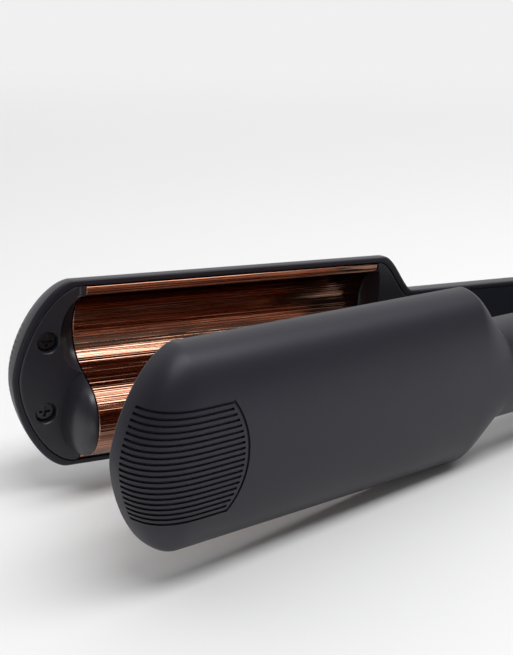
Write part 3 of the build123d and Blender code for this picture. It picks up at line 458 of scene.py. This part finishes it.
# %% Wave profile and plates
WAVE = {"pitch": 13.0, "depth": 12.0, "mid": 1.1, "radius": 12.2, "edge": 27.9}
LIP_RADII = (1.5, 1.0)
EDGE_ROLL, END_ROLL, PLATE_WALL = 0.45, 0.5, 1.2
MIDDLE_ROWS = 24


def arc_points(center, radius, start, end, count):
    """Points and outward-of-arc directions along an arc from one angle to another."""
    a = np.linspace(start, end, count)
    ray = np.stack([np.cos(a), np.sin(a)], -1)
    return np.array(center) + radius * ray, ray


def wave_profile():
    """Points (w, o) of the hair side from the trough's lip to the crest's lip, with unit vectors
    that point to the plate's back. Lips are flat with rolled edges, corners and waves are arcs, the
    flank is straight."""
    r, pitch = WAVE["radius"], WAVE["pitch"]
    trough = (pitch, WAVE["mid"] + WAVE["depth"] - r)
    crest = (-pitch, WAVE["mid"] - WAVE["depth"] + r)
    run = np.subtract(trough, crest)
    flank = math.atan2(run[1], run[0]) + math.acos(-2 * r / math.hypot(*run))
    rise = RIM + LIP_RADII[0] - trough[1]
    reach = math.sqrt((r + LIP_RADII[0]) ** 2 - rise ** 2)
    start = math.atan2(rise, reach)
    a, ray_a = arc_points((trough[0] + reach, RIM + LIP_RADII[0]), LIP_RADII[0], -math.pi / 2,
                          start - math.pi, 10)
    b, ray_b = arc_points(trough, r, start, flank, 60)
    rise = RIM - LIP_RADII[1] - crest[1]
    reach = math.sqrt((r + LIP_RADII[1]) ** 2 - rise ** 2)
    turn = math.atan2(rise, -reach)
    c, ray_c = arc_points(crest, r, flank - math.pi, turn - 2 * math.pi, 60)
    d, ray_d = arc_points((crest[0] - reach, RIM - LIP_RADII[1]), LIP_RADII[1], turn - math.pi,
                          math.pi / 2, 10)
    edge = WAVE["edge"] - EDGE_ROLL
    roll_a = arc_points((edge, RIM + EDGE_ROLL), EDGE_ROLL, 0, -math.pi / 2, 6)[0]
    roll_b = arc_points((-edge, RIM + EDGE_ROLL), EDGE_ROLL, -math.pi / 2, -math.pi, 6)[0]
    back_a, back_b = (np.stack([0 * roll[:, 1], (RIM + PLATE_WALL - roll[:, 1]) / PLATE_WALL], 1)
                      for roll in (roll_a, roll_b))
    points = np.concatenate([roll_a, a, b, c, d, roll_b])
    backs = np.concatenate([back_a, -ray_a, ray_b, -ray_c, ray_d, back_b])
    return points, backs


def wave_height(w):
    """Offset of the hair side at w, read off the profile."""
    order = np.argsort(profile[:, 0])
    return np.interp(w, profile[order, 0], profile[order, 1])


profile, profile_backs = wave_profile()


def plate_points():
    """Grid along the arm by loop: the hair side, then the same profile a wall behind it, closed.
    Both ends roll back over a quarter circle. Also the UV grid: millimetres across and along."""
    turn = np.radians(np.linspace(0, 90, 5))
    short = END_ROLL * (1 - np.sin(turn))
    back_off = END_ROLL * (1 - np.cos(turn))
    middle = np.linspace(PLATE[0] + 2, PLATE[1] - 2, MIDDLE_ROWS)
    along = np.concatenate([(PLATE[0] + short)[::-1], middle, PLATE[1] - short])
    sink = np.concatenate([back_off[::-1], np.zeros(MIDDLE_ROWS), back_off])
    front = profile[None] + profile_backs[None] * sink[:, None, None]
    back = np.broadcast_to(profile + profile_backs * PLATE_WALL, front.shape)[:, ::-1]
    loop = np.concatenate([front, back], 1)
    across = np.concatenate([[0], np.cumsum(np.hypot(*np.diff(profile, axis=0).T))])
    across = np.concatenate([across, across[::-1]])
    uv = np.stack(np.broadcast_arrays(across[None, :], along[:, None]), -1)
    return in_place(along[:, None], loop[..., 1], loop[..., 0]), uv


plate_grid, plate_uv = plate_points()
place_pair("wave_plate", grid_mesh("wave_plate", plate_grid, sharp=50, uv=plate_uv), "plate")
print("wave from", profile[:, 1].min().round(2), "to", profile[:, 1].max().round(2), "mm")

# %% [markdown]
# ## Covers beyond the plate
# Past the plate's end, trough and crest run out in two domes, short ones at the neck, and the rest
# of the cover is flat. Each height of the wave falls to the flat along a quarter ellipse, so the
# surface is one formula of the distance from the plate and the place across it. The hollow dome is
# a little longer than the raised one that closes into it, so the arms shut without a knock. At the
# tip a small block stands in the corner beside the plate's lip. The screws sit in round wells, cut
# with a Boolean.

# %% Cover surface
COVER_INSET = SHELL_WALL + 0.15
PLATE_GAP = 0.25
DOME_SHARE = {"tip": (0.46, 0.68), "neck": (0.08, 0.1)}
NESTING, FLAT_LEFT = 0.6, 0.4
BLOCK = {"edge": 25.05, "side": 0.06, "rise": 0.35, "length": (1.5, 1.8)}
COVER_EDGE, COVER_WALL, COVER_BACK = 0.35, 1.6, 8.2
UNDER_SHELL, THINNEST = 0.1, 0.2
NECK_COVER_END = 148.0
WELL = {"radius": 3.3, "floor": 6.4, "chamfer": 0.6, "mouth": 0.35, "clear": 0.5, "top": 1.0}
TIP_WELLS = [(289.2, 11.3), (289.2, -11.3)]
NECK_WELLS = [(157.5, 9.0), (157.5, -9.0)]


def smooth_step(value, low, high):
    """Rises from 0 at low to 1 at high along a cubic."""
    t = np.clip((value - low) / (high - low), 0, 1)
    return t * t * (3 - 2 * t)


def tip_outline(w):
    """Outline of the tip cover: the arm's rounded tip, inset by the shell's wall and a thin
    gap."""
    return tip_reach(np.clip(np.abs(w) / (BARREL_HALF - COVER_INSET), 0, 1), COVER_INSET)


def neck_outline(w):
    """Outline of the neck cover: straight across the handle, then along the shoulder's curve."""
    u = np.linspace(NECK[0] + COVER_INSET, NECK[1] + COVER_INSET, 200)
    half = half_height(u, COVER_INSET)
    return np.where(np.abs(w) < half[0], NECK_COVER_END, np.interp(np.abs(w), half, u))


def cover_points(edge, outward, outline, name):
    """Grid across by loop. Front points: quarter ellipses from the wave to the flat, the flat, and
    an edge radius at the outline; past the block's edge the wave gives way to the block. Back
    points return a wall behind or deeper, but inside the shell."""
    half = BARREL_HALF - COVER_INSET
    w = half * np.sin(np.radians(np.linspace(-89.5, 89.5, 181)))
    w = np.union1d(w, [BLOCK["edge"] - BLOCK["side"], BLOCK["edge"] + BLOCK["side"]])[:, None]
    block = (name == "tip") & (w > BLOCK["edge"])
    wave = np.where(block, 0.0, wave_height(w) - RIM)
    share = np.where(wave > 0, DOME_SHARE[name][1], DOME_SHARE[name][0])
    length = np.abs(outline(w) - edge)
    turn = np.radians(np.linspace(0, 90, 25))[None, :]
    dome = np.minimum(share * np.abs(wave) + NESTING * (wave > 0), length - FLAT_LEFT)
    flat = dome + (length - COVER_EDGE - dome) * np.linspace(0, 1, 20)[None, 1:]
    edge_turn = np.radians([30, 60, 90])[None, :]
    rounded = length - COVER_EDGE + COVER_EDGE * np.sin(edge_turn)
    edge_o = np.broadcast_to(RIM + COVER_EDGE * (1 - np.cos(edge_turn)), rounded.shape)
    front_u = np.concatenate([dome * np.sin(turn), flat, rounded], 1)
    front_o = np.concatenate([RIM + wave * np.cos(turn), np.full(flat.shape, RIM), edge_o], 1)
    front_o = front_o - BLOCK["rise"] * block * (1 - smooth_step(front_u, *BLOCK["length"]))
    u = edge + outward * front_u
    across = w / np.maximum(half_height(u, SHELL_WALL), 1e-6)
    inside = arch(u, across, SHELL_WALL) - UNDER_SHELL
    back_o = np.clip(np.maximum(front_o + COVER_WALL, COVER_BACK), None,
                     np.maximum(inside, front_o + THINNEST))
    along = np.concatenate([u, u[:, ::-1]], 1)
    offset = np.concatenate([front_o, back_o[:, ::-1]], 1)
    return in_place(along, offset, w)


def well_cutter(u, w):
    """Lathe cutter for a screw's well at (u, w): a profile of radius and offset spun about the
    line that stands outward, with a small chamfer at the mouth."""
    radius, floor, top = WELL["radius"], WELL["floor"], WELL["top"]
    wide = radius + WELL["chamfer"]
    outline = np.array([(0.0, top), (wide, top), (wide, RIM - WELL["clear"]),
                        (radius, RIM + WELL["mouth"]), (radius, floor), (0.0, floor)])
    turn = np.linspace(0, 2 * math.pi, 48, endpoint=False)[None, :]
    r, o = outline[:, :1], outline[:, 1:]
    points = in_place(u + r * np.cos(turn), o + 0 * turn, w + r * np.sin(turn))
    return grid_mesh("well_cutter", points)


for name, edge, outward, outline, wells in (
        ("tip", PLATE[1] + PLATE_GAP, 1, tip_outline, TIP_WELLS),
        ("neck", PLATE[0] - PLATE_GAP, -1, neck_outline, NECK_WELLS)):
    whole = grid_mesh(name, cover_points(edge, outward, outline, name))
    place_pair(f"{name}_cover", cut(whole, [well_cutter(u, w) for u, w in wells]), "cover")

# %% [markdown]
# ## The pieces that keep their CAD shape
# Tail, caps, screws, buttons and the works inside are right as solids, but a CAD mesh arrives as
# loose triangles, which catch the light as facets. A merged copy with smooth faces and marked sharp
# edges stands for each of them. Where a large flat meets a small rounded edge, the normals are
# weighted by the faces' size, so that the flat stays flat to the eye. The tail, the gland and the
# caps are round all over and don't need that.

# %% Smooth copies
COVERED = ("_outer_shell", "_wave_plate", "_tip_cover", "_neck_cover")
ROUND_FORMS = ("tail_", "swivel_", "hinge_cap_")
slot_of = {part["node"]: part["material_slot"] for part in frame["record"]["subparts"]}


def smooth_copy(node, sharp=28.0):
    """Merged copy of a CAD node's mesh, smooth except over sharp edges, on the node's own body."""
    source = frame["nodes"][node]
    mesh = source.data.copy()
    work = bmesh.new()
    work.from_mesh(mesh)
    bmesh.ops.remove_doubles(work, verts=work.verts, dist=1e-6)
    bmesh.ops.dissolve_limit(work, angle_limit=math.radians(0.5), verts=work.verts,
                             edges=work.edges)
    work.to_mesh(mesh)
    work.free()
    set_shading(mesh, sharp)
    if not node.startswith(ROUND_FORMS):
        mesh = after_modifiers(mesh, [("WEIGHTED_NORMAL", {"keep_sharp": True, "weight": 100})])
    return place_piece(node + "_smooth", mesh, source["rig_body"], slot_of[node], node)


copies = [smooth_copy(node) for node in sorted(frame["nodes"]) if not node.endswith(COVERED)]
print("smooth copies:", len(copies))

# %% [markdown]
# ## Plug in the tail's wire channel
# The power wires turn down to the swivel through a channel that is open at the tail's side. A
# small moulded plug presses into it. Its face follows the tail's cone, a hair below the skin, and a
# quarter circle rolls each edge, so that a fine line shows round it as on any plug.

# %% Channel plug
NOSE = {"start": 8.0, "radius": 15.0, "taper": 3.5 / 23.0}
CHANNEL, CHANNEL_HALF = (12.95, 16.15), 2.85
PLUG_BELOW, PLUG_WALL = 0.1, 1.5


def rolled(low, high, count, roll=0.2):
    """Places from low to high, and how far a quarter circle at either end dips at each place."""
    turn = np.linspace(0, math.pi / 2, 5)
    flat = np.linspace(low + roll, high - roll, count)[1:-1]
    edge = roll * (1 - np.cos(turn))
    place = np.concatenate([low + edge, flat, high - edge[::-1]])
    dip = roll * (1 - np.sin(turn))
    return place, np.concatenate([dip, 0 * flat, dip[::-1]])


def plug_points():
    """Grid along the tail by loop: the outer face a hair inside the cone's radius and lower by the
    edges' dip, then back across, a wall further in."""
    x, dip_x = rolled(*CHANNEL, 6)
    w, dip_w = rolled(-CHANNEL_HALF, CHANNEL_HALF, 8)
    cone = NOSE["radius"] - (x - NOSE["start"]) * NOSE["taper"]
    face = np.sqrt(cone[:, None] ** 2 - w[None] ** 2) - PLUG_BELOW
    offset = face - np.maximum(dip_x[:, None], dip_w[None])
    loop = np.concatenate([offset, face[:, ::-1] - PLUG_WALL], 1)
    return in_place(-x[:, None], loop, np.concatenate([w, w[::-1]])[None])


plug_mesh = grid_mesh("channel_plug", plug_points())
plug = place_piece("tail_channel_plug", plug_mesh, "rear_arm", "tail")
print("plug:", [round(side / METRES, 2) for side in plug.dimensions], "mm")

# %% [markdown]
# ## One way to write materials
# Colours are the hex values that a painting program shows, turned to linear light. One function
# adds a node with its settings and links. Patterns read Object coordinates, in metres, so a noise
# scale of 1000 / size puts its features at that size in millimetres. Noise keeps mostly between 0.3
# and 0.7, so that spread is what drives a roughness. Every bump is measured against a relief of
# 0.1 mm, and its strength says how much of that it shows.

# %% Material helpers
RELIEF = 0.0001
NOISE_SPREAD = {"From Min": 0.3, "From Max": 0.7}


def linear(hex_colour):
    """sRGB hex to linear RGBA."""
    value = [int(hex_colour[i:i + 2], 16) / 255 for i in (1, 3, 5)]
    return [v / 12.92 if v <= 0.04045 else ((v + 0.055) / 1.055) ** 2.4 for v in value] + [1.0]


def add(material, kind, sockets=None, **settings):
    """Adds one node; a socket given as another node's output is linked, any other value is set."""
    made = material.node_tree.nodes.new(kind)
    for name, value in settings.items():
        setattr(made, name, value)
    for name, value in (sockets or {}).items():
        if isinstance(value, bpy.types.NodeSocket):
            material.node_tree.links.new(value, made.inputs[name])
        else:
            made.inputs[name].default_value = value
    return made


def new_material(name):
    """Empty node material and its Object coordinates."""
    material = bpy.data.materials.new(name)
    material.use_nodes = True
    material.node_tree.nodes.clear()
    place = add(material, "ShaderNodeTexCoord").outputs["Object"]
    return material, place


def end_material(material, shader):
    """Links the shader to the material's output."""
    add(material, "ShaderNodeOutputMaterial", {"Surface": shader.outputs["BSDF"]})
    return material


def grain(material, place, size_mm, detail=2.0):
    """Noise whose features are size_mm across."""
    return add(material, "ShaderNodeTexNoise", {
        "Vector": place, "Scale": 1000.0 / size_mm, "Detail": detail}).outputs["Fac"]


# %% [markdown]
# ## Soft-touch charcoal shell
# The shell is moulded ABS under a soft-touch polyurethane lacquer. It is matt, but the lacquer's
# skin gives a broad pale sheen where light grazes it. The lacquer's texture is under 0.1 mm; it is
# drawn at 0.35 mm so that it shows at all, and very faint. Slow changes in roughness stand for
# handling. The reflection is a touch cooler than white, as the charcoal pigment makes it.

# %% Shell finish
def soft_touch_lacquer():
    """Matt lacquer: two near tones, a faint skin, and a roughness that handling has changed."""
    m, place = new_material("soft_touch_lacquer_on_ABS")
    handled = add(m, "ShaderNodeMapRange", {
        "Value": grain(m, place, 38.0, 3.0), **NOISE_SPREAD, "To Min": 0.43, "To Max": 0.49})
    tone = add(m, "ShaderNodeMixRGB", {
        "Fac": grain(m, place, 0.9, 2.0), "Color1": linear("#19181e"),
        "Color2": linear("#1c1b22")})
    skin = add(m, "ShaderNodeBump", {
        "Height": grain(m, place, 0.35, 3.0), "Strength": 0.05, "Distance": RELIEF})
    shader = add(m, "ShaderNodeBsdfPrincipled", {
        "Base Color": tone.outputs["Color"], "Roughness": handled.outputs["Result"],
        "Normal": skin.outputs["Normal"], "IOR": 1.49, "Specular IOR Level": 0.42,
        "Specular Tint": linear("#efeeff"), "Sheen Weight": 0.05, "Sheen Roughness": 0.45})
    return end_material(m, shader)


# %% [markdown]
# ## Copper-toned plate
# The plate is aluminium, polished to a mirror and given a rose-copper titanium coating. Polishing
# runs along the arm, so it leaves faint ridges that draw every reflection out into crisp lines.
# They follow the surface, so the pattern reads the plate's own UV map in millimetres: steps 1.3 mm
# and ridges 0.4 mm across, 250 times as long. Real polishing lines are finer than that; these are
# drawn as coarse as they need to be to show. The coating is a shade darker between the ridges.

# %% Plate finish
STEP_MM, RIDGE_MM, LENGTHEN = 1.3, 0.4, 0.004


def coated_plate():
    """Mirror metal with two bumps: low steps with sharp edges, from a noise that is cut off near
    its middle, and finer ridges on them that also change the tone and the gloss a little."""
    m, place = new_material("polished_copper_tone_coating")
    drawn = add(m, "ShaderNodeMapping", {
        "Vector": place.node.outputs["UV"], "Scale": (1.0, LENGTHEN, 1.0)}).outputs["Vector"]
    fine, broad = (add(m, "ShaderNodeTexNoise", {
        "Vector": drawn, "Scale": 1 / size, "Detail": 2.0}).outputs["Fac"]
        for size in (RIDGE_MM, STEP_MM))
    lines = add(m, "ShaderNodeMapRange", {"Value": broad, "From Min": 0.44, "From Max": 0.56},
                interpolation_type="SMOOTHSTEP")
    steps = add(m, "ShaderNodeBump", {
        "Height": lines.outputs["Result"], "Strength": 0.5, "Distance": RELIEF})
    ridges = add(m, "ShaderNodeBump", {
        "Height": fine, "Strength": 0.65, "Distance": RELIEF, "Normal": steps.outputs["Normal"]})
    gloss = add(m, "ShaderNodeMapRange", {
        "Value": fine, **NOISE_SPREAD, "To Min": 0.03, "To Max": 0.08})
    streak = add(m, "ShaderNodeMapRange", {"Value": fine, "From Min": 0.42, "From Max": 0.58})
    tone = add(m, "ShaderNodeMixRGB", {
        "Fac": streak.outputs["Result"], "Color1": linear("#845b49"), "Color2": linear("#bf917b")})
    shader = add(m, "ShaderNodeBsdfPrincipled", {
        "Base Color": tone.outputs["Color"], "Metallic": 1.0,
        "Roughness": gloss.outputs["Result"], "Normal": ridges.outputs["Normal"]})
    return end_material(m, shader)


# %% [markdown]
# ## Everything else
# Satin black covers, a gloss handle face, steel screws and the works inside differ in colour, gloss
# and the size of their grain. One recipe covers them: a base colour with a slight tone shift, a
# roughness that varies a little, and a shallow bump. Moulding texture and tool marks are mostly
# under 0.1 mm, so the grain is drawn at 0.4 mm and more, where it shows. Machined and rolled metal
# has its marks drawn out along the arm.

# %% Moulded, cast and drawn finishes
ALONG_ARM = (0.05, 1, 1)


def worked_surface(name, colour, second, roughness, grain_mm, relief, metallic=0.0,
                   stretch=(1, 1, 1)):
    """Material with two near tones, a roughness that wanders by a tenth either way, and grain of
    grain_mm."""
    m, place = new_material(name)
    turned = add(m, "ShaderNodeMapping", {"Vector": place, "Scale": stretch})
    pattern = grain(m, turned.outputs["Vector"], grain_mm, 3.0)
    tone = add(m, "ShaderNodeMixRGB", {
        "Fac": pattern, "Color1": linear(colour), "Color2": linear(second)})
    gloss = add(m, "ShaderNodeMapRange", {
        "Value": grain(m, place, 9.0), **NOISE_SPREAD,
        "To Min": roughness * 0.9, "To Max": roughness * 1.1}, interpolation_type="SMOOTHSTEP")
    bump = add(m, "ShaderNodeBump", {"Height": pattern, "Strength": relief, "Distance": RELIEF})
    shader = add(m, "ShaderNodeBsdfPrincipled", {
        "Base Color": tone.outputs["Color"], "Metallic": metallic,
        "Roughness": gloss.outputs["Result"], "Normal": bump.outputs["Normal"]})
    return end_material(m, shader)


finishes = {
    "shell": soft_touch_lacquer(),
    "plate": coated_plate(),
    "cover": worked_surface("satin_moulded_PPS", "#27272d", "#2b2b32", 0.31, 0.5, 0.04),
    "handle_face": worked_surface("gloss_moulded_ABS", "#2a2b32", "#2e2f37", 0.12, 3.0, 0.01),
    "screw": worked_surface("black_oxide_steel", "#4c4c52", "#58585e", 0.34, 0.6, 0.08, 1.0),
    "spreader": worked_surface("machined_aluminium", "#c9cacc", "#b9babd", 0.32, 0.5, 0.1, 1.0,
                               ALONG_ARM),
    "heater": worked_surface("polyimide_wrapped_heater", "#a8622a", "#98551f", 0.35, 1.5, 0.1),
    "clamp": worked_surface("rolled_spring_steel", "#9a9ca0", "#8c8e93", 0.32, 0.6, 0.1, 1.0,
                            ALONG_ARM),
    "insulator": worked_surface("mica_sheet", "#b3a88c", "#9d9278", 0.5, 2.0, 0.2),
    "sensor": worked_surface("glass_bead", "#b5702a", "#a3601f", 0.12, 1.0, 0.02),
    "fuse": worked_surface("plated_fuse_can", "#c8c8cc", "#bcbcc2", 0.2, 0.8, 0.05, 1.0),
    "wire": worked_surface("silicone_sleeve", "#8c1c16", "#7c1712", 0.55, 0.6, 0.1),
    "tail": soft_touch_lacquer(),
    "cap": worked_surface("gloss_moulded_cap", "#141418", "#18181c", 0.16, 2.0, 0.02),
    "pin": worked_surface("ground_steel", "#a6a8ac", "#9a9ca1", 0.22, 0.4, 0.05, 1.0),
    "bush": worked_surface("sintered_bronze", "#9a713f", "#85602f", 0.45, 0.4, 0.2, 1.0),
    "bracket": worked_surface("die_cast_aluminium", "#8f9094", "#7f8085", 0.45, 0.8, 0.2, 1.0),
    "gland": worked_surface("satin_moulded_nylon", "#151517", "#19191c", 0.4, 0.5, 0.1),
    "contact": worked_surface("plated_brass", "#c9a25a", "#b8914b", 0.22, 0.5, 0.05, 1.0),
    "board": worked_surface("solder_mask_laminate", "#14502a", "#104623", 0.35, 1.2, 0.1),
    "switch": worked_surface("moulded_switch_body", "#1c1c1e", "#222225", 0.4, 0.5, 0.1),
    "button": worked_surface("gloss_moulded_key", "#16161a", "#1a1a1f", 0.2, 1.5, 0.02),
    "window": worked_surface("smoked_acrylic", "#232328", "#28282d", 0.08, 3.0, 0.01),
    "lamp": worked_surface("diffused_lamp_lens", "#d8d2c4", "#cbc5b6", 0.4, 0.5, 0.05),
}

for piece in list(bpy.context.scene.objects):
    if "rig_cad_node" in piece:
        for k in range(len(piece.material_slots)):
            piece.material_slots[k].material = finishes[slot_of[piece["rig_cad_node"]]]
    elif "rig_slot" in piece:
        piece.data.materials.clear()
        piece.data.materials.append(finishes[piece["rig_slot"]])
print("materials:", len(finishes))

# %% [markdown]
# ## Floor
# Set down on a table, the waver touches it with its two shoulders and its tail, and the tips stand
# a centimetre clear. The frame keeps the barrels level, so the table is drawn at that slope
# instead. It is a wide disc of white paper whose edge curves up into a low rim all round. Close to
# the waver the paper is matt and shows its shadow. Far behind it the paper glows with its own tone,
# as a lit backdrop does, so that no lamp has to reach it.

# %% Paper sweep
SWEEP = {"disc": 3.5, "bend": 0.25, "wall": 0.3, "rings": 12, "spokes": 72}
SHOULDER_REACH, TAIL_REACH, LOW_POINT = 168.2, -5.5, 0.05
BEHIND, GLOW_FROM, GLOW_TO = (0.59, 0.81, 0.0), 0.1, 0.8


def table_height(x):
    """Height in metres of the table under a place x metres along: the line through the shoulders'
    edge and the tail's lowest edge."""
    low = (HINGE[0] - SHOULDER_REACH * math.cos(HALF_SWING)) * METRES
    high = (HINGE[0] - TAIL_REACH) * METRES
    rise = (HINGE[2] - HANDLE_HALF + LOW_POINT) * METRES
    return (x - low) * rise / (high - low)


def sweep_points():
    """Rings and spokes in metres: a flat disc in the table's plane, a quarter circle up from its
    edge and a low upright rim, all round the waver."""
    disc, bend, wall, rings = (SWEEP[key] for key in ("disc", "bend", "wall", "rings"))
    turn = np.linspace(0, math.pi / 2, rings)[1:]
    radius = np.concatenate([np.linspace(0, disc, rings), disc + bend * np.sin(turn),
                             [disc + bend]])
    rise = np.concatenate([np.zeros(rings), bend * (1 - np.cos(turn)), [bend + wall]])
    spoke = np.linspace(0, 2 * math.pi, SWEEP["spokes"] + 1)[:-1]
    x, y = radius[:, None] * np.cos(spoke), radius[:, None] * np.sin(spoke)
    return np.stack([x, y, table_height(x) + rise[:, None]], -1)


def paper():
    """Matt white paper that turns to its own even glow from GLOW_FROM to GLOW_TO metres behind the
    waver, measured along BEHIND."""
    m, place = new_material("matt_paper_sweep")
    matt = add(m, "ShaderNodeBsdfPrincipled", {
        "Base Color": linear("#eeeeee"), "Roughness": 0.9, "Specular IOR Level": 0.1})
    glowing = add(m, "ShaderNodeEmission", {"Color": linear("#f0f0f0"), "Strength": 1.0})
    behind = add(m, "ShaderNodeVectorMath", {0: place, 1: BEHIND}, operation="DOT_PRODUCT")
    far = add(m, "ShaderNodeMapRange", {
        "Value": behind.outputs["Value"], "From Min": GLOW_FROM, "From Max": GLOW_TO},
        interpolation_type="SMOOTHSTEP")
    both = add(m, "ShaderNodeMixShader", {
        0: far.outputs["Result"], 1: matt.outputs["BSDF"], 2: glowing.outputs["Emission"]})
    add(m, "ShaderNodeOutputMaterial", {"Surface": both.outputs["Shader"]})
    return m


def lay_sweep():
    """The sweep as one open sheet with its faces up."""
    points = sweep_points()
    mesh = bpy.data.meshes.new("sweep")
    mesh.from_pydata(points.reshape(-1, 3).tolist(), [],
                     grid_faces(*points.shape[:2]).tolist())
    mesh.shade_smooth()
    mesh.materials.append(paper())
    sweep = bpy.data.objects.new("sweep", mesh)
    bpy.context.scene.collection.objects.link(sweep)
    return sweep


sweep = lay_sweep()
print("sweep:", round(sweep.dimensions.x, 2), "m across")

# %% [markdown]
# ## Light
# One strip soft box hangs lengthwise nearly overhead, a little to the viewer's side, and draws a
# broad pale band along each arm. The room fills in the rest: it is dim all round and glows softly
# from above and behind, which lights the far edges. The view stays on Standard, so that a finish
# renders about as its hex value is written.

# %% Soft box and room
def soft_box(name, place, target, size, power):
    """Soft lamp at place that faces target, both in metres; size is its length along x and its
    width."""
    data = bpy.data.lights.new(name, "AREA")
    data.shape, data.size, data.size_y, data.energy = "RECTANGLE", size[0], size[1], power
    lamp = bpy.data.objects.new(name, data)
    away = np.array(place) - np.array(target)
    away = away / np.linalg.norm(away)
    side = np.array([1.0, 0.0, 0.0]) - away[0] * away
    side = side / np.linalg.norm(side)
    turn = np.eye(4)
    turn[:3, 0], turn[:3, 1], turn[:3, 2], turn[:3, 3] = side, np.cross(away, side), away, place
    lamp.matrix_world = Matrix(turn.tolist())
    bpy.context.scene.collection.objects.link(lamp)
    return lamp


def soft_room(toward, dim, bright):
    """World that is dim all round and brightens towards one direction, by the cosine of the angle
    between them."""
    world = bpy.data.worlds.new("dim_room")
    world.use_nodes = True
    world.node_tree.nodes.clear()
    look = add(world, "ShaderNodeTexCoord").outputs["Generated"]
    facing = add(world, "ShaderNodeVectorMath", {0: look, 1: toward}, operation="DOT_PRODUCT")
    level = add(world, "ShaderNodeMapRange", {
        "Value": facing.outputs["Value"], "From Min": 0.35, "From Max": 0.95,
        "To Min": dim, "To Max": bright}, interpolation_type="SMOOTHSTEP")
    room = add(world, "ShaderNodeBackground", {
        "Color": linear("#ffffff"), "Strength": level.outputs["Result"]})
    add(world, "ShaderNodeOutputWorld", {"Surface": room.outputs["Background"]})
    return world


strip = soft_box("overhead_soft_box", place=(0.06, -0.32, 1.0), target=(0.0, 0.0, 0.02),
                 size=(1.25, 0.36), power=8.5)
bpy.context.scene.world = soft_room(toward=(0.15, 0.69, 0.71), dim=0.18, bright=1.2)
bpy.context.scene.view_settings.view_transform = "Standard"
print("soft box:", strip.data.size, "x", round(strip.data.size_y, 2), "m")
